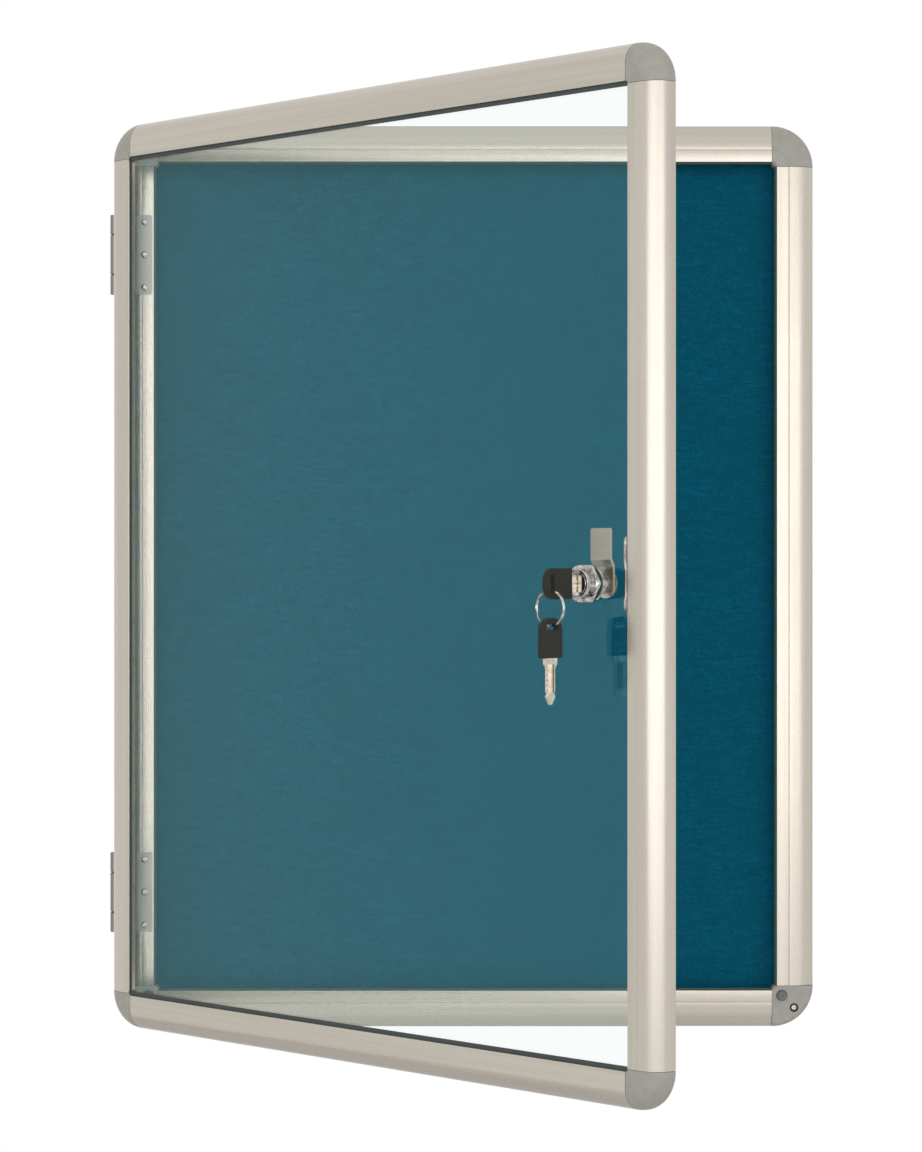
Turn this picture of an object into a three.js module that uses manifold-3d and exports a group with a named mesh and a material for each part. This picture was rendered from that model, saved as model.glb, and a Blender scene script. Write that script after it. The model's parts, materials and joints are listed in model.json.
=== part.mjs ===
// Lockable notice board: an aluminium wall frame with a felt-covered pin board, and a glazed door on two
// butt hinges with a cam lock through the glass, a key in the lock and a spare key on a split ring.
// Millimetres. X runs to the right, -Y to the front, +Z up. The origin is the centre of the back face.
import * as THREE from 'three';
import { mergeVertices } from 'three/addons/utils/BufferGeometryUtils.js';
import Module from 'manifold-3d';

const wasm = await Module();
wasm.setup();

// Driving sizes of the whole board
const frameWidth = 508.2;
const frameHeight = 660;
const clearance = 0.3;
const overrun = 2;
const openAngle = THREE.MathUtils.degToRad(41.2);
const ringSwing = THREE.MathUtils.degToRad(45);

// Back frame extrusion: measured inward from its outer edge and forward from the wall
const frameDepth = 22;
const frameSideHeight = 17.6;
const frameConvexWidth = 17.5;
const frameLedgeEdge = 26.6;
const frameBevel = 1.7;
const frameLedgeThickness = 1.6;
const frameWall = 1.5;
const frameGrooveWidth = 0.7;
const frameGrooveDepth = 0.6;
const frameWebOffset = 20;
const frameLipWidth = 3;
const frameLipThickness = 1.4;
const frameCornerSize = 30;
const frameCornerRidge = 0.3;
const frameCornerFlatDrop = 0.6;
const frameCornerRound = 3.4;
const frameLegLength = 32;
const frameLegHeight = 12.5;

// Pin board stack behind the frame's ledge
const backSheetThickness = 0.8;
const pinBoardThickness = 6.4;
const feltThickness = 1.1;

// Fixings in the lower frame corners
const cornerScrewOffset = 14;
const cornerScrewHead = 4.6;
const cornerScrewLength = 10;
const counterboreDiameter = 6.6;
const counterboreDepth = 1.6;
const screwHeadHeight = 1.1;
const screwShare = 0.5;
const driveShare = 0.62;
const bufferOffset = 23;
const bufferDiameter = 8;
const bufferSeatDepth = 3;
const bufferRound = 1.5;

// Door extrusion: measured inward from its outer edge and forward from its rear plane
const doorInset = 3.5;
const doorHingeInset = 5.7;
const doorLockInset = 0.3;
const doorGap = 2.7;
const doorDepth = 15.5;
const doorFace = 25.2;
const doorWall = 1.5;
const doorLipThickness = 1.4;
const doorWebOffset = 17;
const doorRearLipWidth = 3.5;
const doorRearLipThickness = 1.4;
const doorCornerSize = 26.7;
const doorCornerFill = 23;
const doorLegLength = 30;
const doorLegStart = 6;
const doorLegHeight = 7.4;

// Glazing
const glassThickness = 4;
const gasketWall = 0.9;
const gasketSightLine = 2.8;
const gasketSideLine = 0.9;

// Hinges
const hingeHeight = 58;
const hingeTopInset = 95;
const hingeBottomInset = 99;
const hingePinOutset = 3.2;
const hingeLeafThickness = 0.9;
const hingeKnuckleDiameter = 6;
const hingeKnuckleGap = 0.6;
const hingePinDiameter = 2.4;
const hingeLeafEnd = 25.6;
const hingeDoorLeafEnd = 11.6;
const hingeEndShare = 0.25;
const hingeScrewColumn = 20.2;
const hingeDoorScrewColumn = 8;
const hingeScrewSpread = 23.9;
const hingeScrewHead = 5.2;
const hingeScrewLength = 8;
const hingeDoorScrewLength = 6;

// Cam lock through the glass
const lockInset = 60.6;
const lockDrop = 4.6;
const lockBarrelDiameter = 18.7;
const lockBarrelProjection = 8.6;
const lockFlangeFlats = 23;
const lockFlangeThickness = 3;
const lockThreadDiameter = 16;
const lockThreadLength = 12.3;
const lockNutFlats = 20;
const lockNutThickness = 3.6;
const lockWasherThickness = 0.8;
const lockPlugDiameter = 12;
const lockPlugHeadDiameter = 15.4;
const lockPlugHeadThickness = 1.8;
const plugBevelShare = 0.25;
const lockSquare = 7;
const camThickness = 1.6;
const camWidth = 15.6;
const camReach = 34.6;
const camCrank = 2.8;
const camCrankStart = 11;
const camCrankEnd = 15.5;
const camRound = 1.5;
const camBaseDrop = 6.5;
const camBaseRound = 3;
const camScrewHead = 9;
const camScrewHeadHeight = 2;
const camScrewShank = 3.6;
const camScrewReach = 5.5;
const camWasherDiameter = 18.6;
const camWasherThickness = 0.9;

// Keys
const bladeWidth = 7.6;
const bladeThickness = 2;
const bladeEndWall = 1.4;
const bladeShoulderWidth = 11.2;
const bladeShoulderLength = 3.6;
const bladeTaperLength = 2;
const bladeRoot = 5;
const bladeCutDepth = 1.3;
const bladeCutPitch = 3.2;
const bladeTip = 5;
const bladeGroove = 0.9;
const cutStartShare = 0.3;
const cutRampShare = 0.3;
const tipShare = 0.12;
const grooveShare = 0.32;
const bladeGrooveDepth = 0.5;
const bowLength = 24.4;
const bowWidth = 19;
const bowThickness = 4.6;
const bowRound = 8;
const bowFootRound = 1.2;
const bowEdgeRound = 0.8;
const bowSlotInset = 5.4;
const bowSlotLength = 10.4;
const bowSlotWidth = 3.5;
const bowSlotRound = 0.5;
const keyGap = 6;
const ringDiameter = 22.4;
const ringWire = 0.9;
const ringPitch = 1;

// Plate on the lock stile
const plateHeight = 46;
const plateThickness = 2.1;
const plateDepth = 1.7;
const plateCentre = 1.5;
const plateScrewHead = 1.4;
const plateScrewRise = 14;

// Counts of facets
const arcSteps = 8;
const doorArcSteps = 9;
const cornerSteps = 15;
const roundSteps = 32;
const smallRoundSteps = 12;
const domeSteps = 3;
const wireSteps = 4;
const bowFootSteps = 3;
const bowEdgeSteps = 2;
const nutSides = 6;

const finish = {
  aluminium: { color: 0xcfcabf, roughness: 0.34, metalness: 0.85 },
  corner: { color: 0xa5a298, roughness: 0.5, metalness: 0.1 },
  felt: { color: 0x0a4f66, roughness: 0.95, metalness: 0 },
  board: { color: 0xa98f68, roughness: 0.9, metalness: 0 },
  sheet: { color: 0x9b9d9c, roughness: 0.5, metalness: 0.7 },
  glass: { color: 0xd8ecee, roughness: 0.04, metalness: 0 },
  gasket: { color: 0x3a403f, roughness: 0.8, metalness: 0 },
  hinge: { color: 0xc4bfb4, roughness: 0.36, metalness: 0.9 },
  screw: { color: 0xb9b6ae, roughness: 0.3, metalness: 0.95 },
  chrome: { color: 0xd9d8d4, roughness: 0.12, metalness: 1 },
  cam: { color: 0xb2a899, roughness: 0.35, metalness: 0.9 },
  keyBlade: { color: 0xc0b8aa, roughness: 0.3, metalness: 0.95 },
  keyBow: { color: 0x32302a, roughness: 0.55, metalness: 0 },
  rubber: { color: 0x4d4f4c, roughness: 0.85, metalness: 0 },
};

// Solids: closed geometry in, joined or cut geometry out
function toSolid(geometry) {
  const bare = geometry.clone();
  bare.deleteAttribute('normal');
  bare.deleteAttribute('uv');
  const merged = mergeVertices(bare);
  return new wasm.Manifold(new wasm.Mesh({
    numProp: 3,
    vertProperties: Float32Array.from(merged.attributes.position.array),
    triVerts: Uint32Array.from(merged.index.array),
  }));
}

function toGeometry(solid) {
  const mesh = solid.getMesh();
  const geometry = new THREE.BufferGeometry();
  geometry.setAttribute('position', new THREE.BufferAttribute(mesh.vertProperties, 3));
  geometry.setIndex(new THREE.BufferAttribute(mesh.triVerts, 1));
  return geometry;
}

function joined(...solids) {
  return solids.reduce((whole, piece) => whole.add(piece));
}

function cut(solid, ...tools) {
  return tools.reduce((rest, tool) => rest.subtract(tool), solid);
}

// A box between two corners
function block(low, high) {
  const size = new THREE.Vector3().subVectors(high, low);
  const centre = new THREE.Vector3().addVectors(low, high).multiplyScalar(0.5);
  return toSolid(new THREE.BoxGeometry(size.x, size.y, size.z).translate(centre.x, centre.y, centre.z));
}

function point(x, y, z) {
  return new THREE.Vector3(x, y, z);
}

// A round bar along Y between two places
function barY(diameter, from, to, steps = smallRoundSteps) {
  const bar = new THREE.CylinderGeometry(diameter / 2, diameter / 2, to - from, steps);
  return toSolid(bar.translate(0, (from + to) / 2, 0));
}

// A round bar along Z between two places
function barZ(diameter, from, to, steps = smallRoundSteps) {
  const bar = new THREE.CylinderGeometry(diameter / 2, diameter / 2, to - from, steps);
  return toSolid(bar.rotateX(quarter).translate(0, 0, (from + to) / 2));
}

// A profile of radius and height, closed on itself, turned about Y
function turned(profile, steps = roundSteps) {
  const points = [...profile, profile[0]].map(([radius, height]) => new THREE.Vector2(radius, height));
  return toSolid(new THREE.LatheGeometry(points, steps));
}

const quarter = Math.PI / 2;

// Points of an arc about a centre, both ends included
function arc(centreX, centreY, radius, startAngle, endAngle, steps) {
  return Array.from({ length: steps + 1 }, (unused, index) => {
    const angle = startAngle + ((endAngle - startAngle) * index) / steps;
    return [centreX + radius * Math.cos(angle), centreY + radius * Math.sin(angle)];
  });
}

// Outlines run anticlockwise and holes clockwise, whichever way their points were written
function wound(points, clockwise) {
  const vectors = points.map(([x, y]) => new THREE.Vector2(x, y));
  return THREE.ShapeUtils.isClockWise(vectors) === clockwise ? vectors : vectors.reverse();
}

function shapeOf(outline, holes = []) {
  const shape = new THREE.Shape(wound(outline, false));
  shape.holes = holes.map((hole) => new THREE.Path(wound(hole, true)));
  return shape;
}

function mesh(name, solid, look) {
  const geometry = solid.isBufferGeometry ? solid : toGeometry(solid);
  const piece = new THREE.Mesh(geometry, new THREE.MeshStandardMaterial(finish[look]));
  piece.name = name;
  return piece;
}

// Back frame section. The convex outer face is one arc, level where it meets the ledge.
const frameDrop = frameDepth - frameSideHeight;
const frameArcRadius = (frameConvexWidth ** 2 + frameDrop ** 2) / (2 * frameDrop);
const frameArcAngle = Math.asin(frameConvexWidth / frameArcRadius);
const frameInnerEdge = frameLedgeEdge + frameBevel;
const ledgeRear = frameDepth - frameLedgeThickness;
const webInner = frameWebOffset - frameWall;
const sheetRear = frameLipThickness + clearance;
const boardRear = sheetRear + backSheetThickness + clearance;
const feltRear = boardRear + pinBoardThickness + clearance;
const feltFront = feltRear + feltThickness;
const boardLip = feltFront + clearance;

function frameArc(radius, inset) {
  const centreY = frameDepth - frameArcRadius;
  const stop = quarter;
  const start = stop + Math.asin((frameConvexWidth - inset) / radius);
  return arc(frameConvexWidth, centreY, radius, start, stop, arcSteps);
}

function frameSection() {
  const grooveEnd = frameConvexWidth + frameGrooveWidth;
  const lipEnd = frameWebOffset + frameLipWidth;
  const outline = [
    [0, 0],
    ...frameArc(frameArcRadius, 0),
    [frameConvexWidth, frameDepth - frameGrooveDepth],
    [grooveEnd, frameDepth - frameGrooveDepth],
    [grooveEnd, frameDepth],
    [frameLedgeEdge, frameDepth],
    [frameInnerEdge, Math.max(frameDepth - frameBevel, ledgeRear)],
    [frameInnerEdge - Math.max(frameBevel - frameLedgeThickness, 0), ledgeRear],
    [frameWebOffset, ledgeRear],
    [frameWebOffset, boardLip + frameLipThickness],
    [lipEnd, boardLip + frameLipThickness],
    [lipEnd, boardLip],
    [frameWebOffset, boardLip],
    [frameWebOffset, frameLipThickness],
    [lipEnd, frameLipThickness],
    [lipEnd, 0],
  ];
  const chamber = [
    [frameWall, frameWall],
    ...frameArc(frameArcRadius - frameWall - frameGrooveDepth, frameWall),
    [webInner, frameDepth - frameWall - frameGrooveDepth],
    [webInner, frameWall],
  ];
  return shapeOf(outline, [chamber]);
}

// A rail along X, outer edge at the origin: inward becomes -Z and forward becomes -Y
function rail(section, length) {
  const geometry = new THREE.ExtrudeGeometry(section, { depth: length, bevelEnabled: false });
  const turn = new THREE.Matrix4().makeBasis(point(0, 0, -1), point(0, -1, 0), point(-1, 0, 0));
  return toSolid(geometry.applyMatrix4(turn).translate(length / 2, 0, 0));
}

// A quarter turn of a corner outline, with its outer corner at the origin
function quarterCorner(outline, size, depth) {
  const ring = outline.map(([inward, forward]) => [size - inward, forward]);
  const points = [...ring, ring[0]].map(([radius, height]) => new THREE.Vector2(radius, height));
  const lathe = new THREE.LatheGeometry(points, 4 * cornerSteps).rotateX(Math.PI).translate(-size, 0, -size);
  const quadrant = block(point(-size, -depth - overrun, -size), point(overrun, overrun, overrun));
  return toSolid(lathe).intersect(quadrant);
}

// The two legs that plug into the chambers of the neighbouring rails
function cornerLegs(size, length, inwardFrom, inwardTo, forwardFrom, forwardTo) {
  const far = -size - length;
  const near = -size + overrun;
  const along = block(point(far, -forwardTo, -inwardTo), point(near, -forwardFrom, -inwardFrom));
  const down = block(point(-inwardTo, -forwardTo, far), point(-inwardFrom, -forwardFrom, near));
  return joined(along, down);
}

function ridgedOutline() {
  const ridgeEnd = frameConvexWidth + frameGrooveWidth;
  return [
    [0, 0],
    ...frameArc(frameArcRadius, 0),
    [frameConvexWidth, frameDepth + frameCornerRidge],
    [ridgeEnd, frameDepth + frameCornerRidge],
    [ridgeEnd, frameDepth],
    [frameLedgeEdge, frameDepth],
    [frameInnerEdge, frameDepth - frameBevel],
    [frameInnerEdge, 0],
  ];
}

function flatOutline() {
  const face = frameDepth - frameCornerFlatDrop;
  return [
    [0, 0],
    ...arc(frameCornerRound, face - frameCornerRound, frameCornerRound, 2 * quarter, quarter, arcSteps),
    [frameLedgeEdge, face],
    [frameInnerEdge, face - frameBevel],
    [frameInnerEdge, 0],
  ];
}

function frameCorner(outline) {
  const body = quarterCorner(outline, frameCornerSize, frameDepth);
  const legFrom = frameWall + clearance;
  const legs = cornerLegs(
    frameCornerSize, frameLegLength, legFrom, webInner - clearance, legFrom, legFrom + frameLegHeight,
  );
  const reach = frameCornerSize + overrun;
  const pocket = block(
    point(-reach, -boardLip, -reach),
    point(-frameWebOffset, overrun, -frameWebOffset),
  );
  return cut(joined(body, legs), pocket);
}

const cornerFace = frameDepth - frameCornerFlatDrop;

// The lower corners carry a counterbored screw and the seat of a door buffer, both on the diagonal
function lowerCorner() {
  const screwBore = barY(cornerScrewHead * screwShare + 2 * clearance, -cornerFace - overrun, -frameWall);
  const counterbore = barY(counterboreDiameter, -cornerFace - overrun, -cornerFace + counterboreDepth);
  const seat = barY(bufferDiameter, -cornerFace - overrun, -cornerFace + bufferSeatDepth);
  const screwAt = [-cornerScrewOffset, 0, -cornerScrewOffset];
  const seatAt = [-bufferOffset, 0, -bufferOffset];
  return cut(
    frameCorner(flatOutline()),
    screwBore.translate(screwAt),
    counterbore.translate(screwAt),
    seat.translate(seatAt),
  );
}

// A round-headed screw along Y, its head towards the front and the underside of the head at zero
function roundScrew(head, length) {
  const radius = head / 2;
  const shank = radius * screwShare;
  const dome = arc(0, 0, 1, 0, quarter, domeSteps).map(([x, y]) => [radius * x, screwHeadHeight * y]);
  const profile = [[0, -length], [shank, -length + shank], [shank, 0], ...dome];
  const body = turned(profile, smallRoundSteps);
  const slotHalf = radius * driveShare;
  const slotWidth = screwHeadHeight * screwShare;
  const slots = [
    block(point(-slotHalf, screwHeadHeight * screwShare, -slotWidth / 2),
      point(slotHalf, screwHeadHeight + overrun, slotWidth / 2)),
    block(point(-slotWidth / 2, screwHeadHeight * screwShare, -slotHalf),
      point(slotWidth / 2, screwHeadHeight + overrun, slotHalf)),
  ];
  return cut(body, ...slots).rotate([180, 0, 0]);
}

// Bores for the hinge screws in a stile that is still drawn as a rail along X
function drilled(stile, column, diameter, from, to) {
  const bores = [hingeUpperCentre, hingeLowerCentre].flatMap((centre) => screwRows
    .map((row) => barY(diameter, from, to).translate([centre + row, 0, -column])));
  return cut(stile, ...bores);
}

// A piece drawn for the top right, placed and turned to serve another side of a rectangle
function around(piece, x, z, quarterTurns) {
  piece.position.set(x, 0, z);
  piece.rotation.y = quarterTurns * quarter;
  return piece;
}

function backFrame(group) {
  const halfWidth = frameWidth / 2;
  const halfHeight = frameHeight / 2;
  const joint = 2 * (frameCornerSize + clearance);
  const acrossRail = () => rail(frameSection(), frameWidth - joint);
  const uprightRail = () => rail(frameSection(), frameHeight - joint);
  const screwBore = hingeScrewHead * screwShare + 2 * clearance;
  const hingeStile = drilled(uprightRail(), hingeScrewColumn, screwBore, -frameDepth - overrun, -frameWall);
  group.add(around(mesh('frame_rail_top', acrossRail(), 'aluminium'), 0, halfHeight, 0));
  group.add(around(mesh('frame_rail_bottom', acrossRail(), 'aluminium'), 0, -halfHeight, 2));
  group.add(around(mesh('frame_stile_right', uprightRail(), 'aluminium'), halfWidth, 0, 1));
  group.add(around(mesh('frame_stile_left', hingeStile, 'aluminium'), -halfWidth, 0, 3));
  const upper = () => frameCorner(ridgedOutline());
  group.add(around(mesh('frame_corner_top_right', upper(), 'corner'), halfWidth, halfHeight, 0));
  group.add(around(mesh('frame_corner_top_left', upper(), 'corner'), -halfWidth, halfHeight, 3));
  group.add(around(mesh('frame_corner_bottom_right', lowerCorner(), 'corner'), halfWidth, -halfHeight, 1));
  group.add(around(mesh('frame_corner_bottom_left', lowerCorner(), 'corner'), -halfWidth, -halfHeight, 2));
}

// A rubber buffer in its seat, its rounded front just short of the closed door
function doorBuffer() {
  const radius = bufferDiameter / 2 - clearance;
  const rear = cornerFace - bufferSeatDepth + clearance;
  const front = frameDepth + doorGap - clearance;
  const rim = arc(radius - bufferRound, front - bufferRound, bufferRound, 0, quarter, domeSteps);
  const profile = [[0, rear], [radius, rear], ...rim, [0, front]];
  return turned(profile, smallRoundSteps).rotate([180, 0, 0]);
}

// Screws and door buffers of the two lower corners, mirrored about the middle
function lowerFixings(group) {
  const screwX = frameWidth / 2 - cornerScrewOffset;
  const screwZ = -frameHeight / 2 + cornerScrewOffset;
  const screwY = -(cornerFace - counterboreDepth + clearance);
  const bufferX = frameWidth / 2 - bufferOffset;
  const bufferZ = -frameHeight / 2 + bufferOffset;
  const sides = { left: -1, right: 1 };
  Object.entries(sides).forEach(([name, side]) => {
    const solid = roundScrew(cornerScrewHead, cornerScrewLength);
    const screw = mesh(`frame_corner_screw_${name}`, solid, 'screw');
    screw.position.set(side * screwX, screwY, screwZ);
    const buffer = mesh(`door_buffer_${name}`, doorBuffer(), 'rubber');
    buffer.position.set(side * bufferX, 0, bufferZ);
    group.add(screw, buffer);
  });
}

function boardStack(group) {
  const halfX = frameWidth / 2 - frameWebOffset - clearance;
  const halfZ = frameHeight / 2 - frameWebOffset - clearance;
  const layer = (name, rear, thickness, look) => {
    const solid = block(point(-halfX, -rear - thickness, -halfZ), point(halfX, -rear, halfZ));
    group.add(mesh(name, solid, look));
  };
  layer('back_sheet', sheetRear, backSheetThickness, 'sheet');
  layer('pin_board', boardRear, pinBoardThickness, 'board');
  layer('felt_cover', feltRear, feltThickness, 'felt');
}

// Hinges: the pin stands just outside the frame, half way between the leaves
const doorRearPlane = frameDepth + doorGap;
const frameLeafRear = frameDepth + clearance;
const frameLeafFront = frameLeafRear + hingeLeafThickness;
const doorLeafFront = doorRearPlane - clearance;
const doorLeafRear = doorLeafFront - hingeLeafThickness;
const pinForward = (frameLeafFront + doorLeafRear) / 2;
const pinX = -frameWidth / 2 - hingePinOutset;
const doorOuterX = hingePinOutset + doorHingeInset;
const hingeUpperCentre = frameHeight / 2 - hingeTopInset;
const hingeLowerCentre = -frameHeight / 2 + hingeBottomInset;
const knuckleEnd = hingeHeight * hingeEndShare;
const hingeHalf = hingeHeight / 2;
const pinBore = hingePinDiameter + 2 * clearance;
const knuckleClear = hingeKnuckleDiameter + 2 * clearance;
const middleHalf = hingeHalf - knuckleEnd;

const screwRows = [-hingeScrewSpread, 0, hingeScrewSpread];

// Hinge leaves are drawn about the pin, X towards the free side of the leaf and -Y forward
function frameLeaf() {
  const end = hingePinOutset + hingeLeafEnd;
  const rear = pinForward - frameLeafRear;
  const plate = block(point(0, rear - hingeLeafThickness, -hingeHalf), point(end, rear, hingeHalf));
  const ends = joined(
    barZ(hingeKnuckleDiameter, -hingeHalf, -middleHalf - hingeKnuckleGap / 2),
    barZ(hingeKnuckleDiameter, middleHalf + hingeKnuckleGap / 2, hingeHalf),
  );
  const holes = screwRows.map((row) => barY(hingeScrewHead * screwShare + clearance, -overrun, overrun)
    .translate([hingePinOutset + hingeScrewColumn, rear, row]));
  return cut(
    joined(plate, ends),
    barZ(knuckleClear, -middleHalf - hingeKnuckleGap / 2, middleHalf + hingeKnuckleGap / 2),
    barZ(pinBore, -hingeHalf - overrun, hingeHalf + overrun),
    ...holes,
  );
}

function doorLeaf() {
  const end = doorOuterX + hingeDoorLeafEnd;
  const rear = pinForward - doorLeafRear;
  const plate = block(point(0, rear - hingeLeafThickness, -hingeHalf), point(end, rear, hingeHalf));
  const middle = barZ(hingeKnuckleDiameter, -middleHalf + hingeKnuckleGap / 2, middleHalf - hingeKnuckleGap / 2);
  const gaps = [
    barZ(knuckleClear, -hingeHalf - overrun, -middleHalf + hingeKnuckleGap / 2),
    barZ(knuckleClear, middleHalf - hingeKnuckleGap / 2, hingeHalf + overrun),
  ];
  const holes = screwRows.map((row) => countersink(clearance)
    .translate([doorOuterX + hingeDoorScrewColumn, rear, row]));
  return cut(
    joined(plate, middle),
    ...gaps,
    barZ(pinBore, -hingeHalf - overrun, hingeHalf + overrun),
    ...holes,
  );
}

// A countersunk screw seen from behind the door, its head flush with the leaf's rear at zero and its shank
// towards the front. A margin turns it into the tool for its own hole.
function countersink(margin) {
  const headRadius = hingeScrewHead / 2;
  const shank = headRadius * screwShare;
  const length = hingeDoorScrewLength + margin;
  const profile = [
    [0, -margin],
    [headRadius + 2 * margin, -margin],
    [shank + margin, hingeLeafThickness],
    [shank + margin, length],
    [0, length],
  ];
  return turned(profile, smallRoundSteps).rotate([180, 0, 0]);
}

function frameHinges(group) {
  const centres = { upper: hingeUpperCentre, lower: hingeLowerCentre };
  Object.entries(centres).forEach(([level, height]) => {
    const hinge = new THREE.Group();
    hinge.position.set(pinX, -pinForward, height);
    hinge.add(mesh(`hinge_${level}_frame_leaf`, frameLeaf(), 'hinge'));
    hinge.add(mesh(`hinge_${level}_pin`, barZ(hingePinDiameter, -hingeHalf, hingeHalf), 'hinge'));
    const rear = pinForward - frameLeafFront;
    screwRows.forEach((row, index) => {
      const solid = roundScrew(hingeScrewHead, hingeScrewLength);
      const screw = mesh(`hinge_${level}_frame_screw_${index + 1}`, solid, 'screw');
      screw.position.set(hingePinOutset + hingeScrewColumn, rear - clearance / 2, row);
      hinge.add(screw);
    });
    group.add(hinge);
  });
}

// Door section: a quarter round outside, a flat face, a lip over the glass and a channel for its gasket
const channelDepth = glassThickness + 2 * gasketWall + 3 * clearance + clearance;
const channelFront = doorDepth - doorLipThickness;
const channelRear = channelFront - channelDepth;
const glassFront = channelFront - 2 * clearance - gasketWall;
const glassRear = glassFront - glassThickness;
const doorWidth = frameWidth - doorHingeInset - doorLockInset;
const doorHeight = frameHeight - 2 * doorInset;

function doorArc(radius) {
  return arc(doorDepth, 0, radius, 2 * quarter, quarter, doorArcSteps);
}

function doorSection() {
  const rearLipEnd = doorWebOffset + doorRearLipWidth;
  const outline = [
    ...doorArc(doorDepth),
    [doorFace, doorDepth],
    [doorFace, channelFront],
    [doorWebOffset, channelFront],
    [doorWebOffset, channelRear],
    [rearLipEnd, channelRear],
    [rearLipEnd, channelRear - doorRearLipThickness],
    [doorWebOffset, channelRear - doorRearLipThickness],
    [doorWebOffset, 0],
  ];
  const innerRadius = doorDepth - doorWall;
  const startAngle = Math.PI - Math.asin(doorWall / innerRadius);
  const chamber = [
    ...arc(doorDepth, 0, innerRadius, startAngle, quarter, doorArcSteps),
    [doorDepth, doorWall],
  ];
  return shapeOf(outline, [chamber]);
}

function doorCorner() {
  const outline = [
    ...doorArc(doorDepth),
    [doorFace, doorDepth],
    [doorFace, channelFront],
    [doorCornerFill, channelFront],
    [doorCornerFill, 0],
  ];
  const body = quarterCorner(outline, doorCornerSize, doorDepth);
  const legFrom = doorWall + clearance;
  const legs = cornerLegs(
    doorCornerSize, doorLegLength, doorLegStart, doorDepth - clearance, legFrom, legFrom + doorLegHeight,
  );
  const reach = doorCornerSize + overrun;
  const pocket = block(
    point(-reach, -channelFront, -reach),
    point(-doorWebOffset, -channelRear, -doorWebOffset),
  );
  return cut(joined(body, legs), pocket);
}

// The door is drawn about its hinge pin: X along the door, Y rearward. Its middle lies here.
const doorRearY = pinForward - doorRearPlane;
const doorMiddleX = doorOuterX + doorWidth / 2;

function doorFrame(group) {
  const halfWidth = doorWidth / 2;
  const halfHeight = doorHeight / 2;
  const joint = 2 * (doorCornerSize + clearance);
  const acrossRail = () => rail(doorSection(), doorWidth - joint);
  const uprightRail = () => rail(doorSection(), doorHeight - joint);
  const screwBore = hingeScrewHead * screwShare + 2 * clearance;
  const hingeStile = drilled(uprightRail(), hingeDoorScrewColumn, screwBore, -2 * doorWall, overrun);
  const leaf = new THREE.Group();
  leaf.position.set(doorMiddleX, doorRearY, 0);
  leaf.add(around(mesh('door_rail_top', acrossRail(), 'aluminium'), 0, halfHeight, 0));
  leaf.add(around(mesh('door_rail_bottom', acrossRail(), 'aluminium'), 0, -halfHeight, 2));
  leaf.add(around(mesh('door_stile_lock', uprightRail(), 'aluminium'), halfWidth, 0, 1));
  leaf.add(around(mesh('door_stile_hinge', hingeStile, 'aluminium'), -halfWidth, 0, 3));
  leaf.add(around(mesh('door_corner_top_right', doorCorner(), 'corner'), halfWidth, halfHeight, 0));
  leaf.add(around(mesh('door_corner_top_left', doorCorner(), 'corner'), -halfWidth, halfHeight, 3));
  leaf.add(around(mesh('door_corner_bottom_right', doorCorner(), 'corner'), halfWidth, -halfHeight, 1));
  leaf.add(around(mesh('door_corner_bottom_left', doorCorner(), 'corner'), -halfWidth, -halfHeight, 2));
  group.add(leaf);
}

// A plate about the middle of the door, inset from its edge, between two distances from its rear plane
function doorPlate(inset, from, to, levelInset = inset) {
  const halfX = doorWidth / 2 - inset;
  const halfZ = doorHeight / 2 - levelInset;
  return block(point(-halfX, -to, -halfZ), point(halfX, -from, halfZ));
}

function glazing(group) {
  const gasketInset = doorWebOffset + clearance;
  const glassInset = gasketInset + gasketWall + clearance;
  const gasketRear = channelRear + clearance;
  const gasketFront = channelFront - clearance;
  const gasket = cut(
    doorPlate(gasketInset, gasketRear, gasketFront),
    doorPlate(gasketInset + gasketWall, glassRear - clearance, glassFront + clearance),
    doorPlate(
      doorFace + gasketSideLine, gasketRear - overrun, gasketFront + overrun, doorFace + gasketSightLine,
    ),
    doorPlate(doorWebOffset + doorRearLipWidth, gasketRear - overrun, glassRear),
  );
  const lockHole = barY(lockThreadDiameter + 2 * clearance, -doorDepth, 0, roundSteps)
    .translate([doorWidth / 2 - lockInset, 0, -lockDrop]);
  const glass = cut(doorPlate(glassInset, glassRear, glassFront), lockHole);
  const pane = new THREE.Group();
  pane.position.set(doorMiddleX, doorRearY, 0);
  pane.add(mesh('glazing_gasket', gasket, 'gasket'));
  pane.add(mesh('glass_pane', glass, 'glass'));
  group.add(pane);
}

function doorHinges(group) {
  const centres = { upper: hingeUpperCentre, lower: hingeLowerCentre };
  Object.entries(centres).forEach(([level, height]) => {
    const hinge = new THREE.Group();
    hinge.position.z = height;
    hinge.add(mesh(`hinge_${level}_door_leaf`, doorLeaf(), 'hinge'));
    const rear = pinForward - doorLeafRear;
    screwRows.forEach((row, index) => {
      const screw = mesh(`hinge_${level}_door_screw_${index + 1}`, countersink(0), 'screw');
      screw.position.set(doorOuterX + hingeDoorScrewColumn, rear, row);
      hinge.add(screw);
    });
    group.add(hinge);
  });
}

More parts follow.
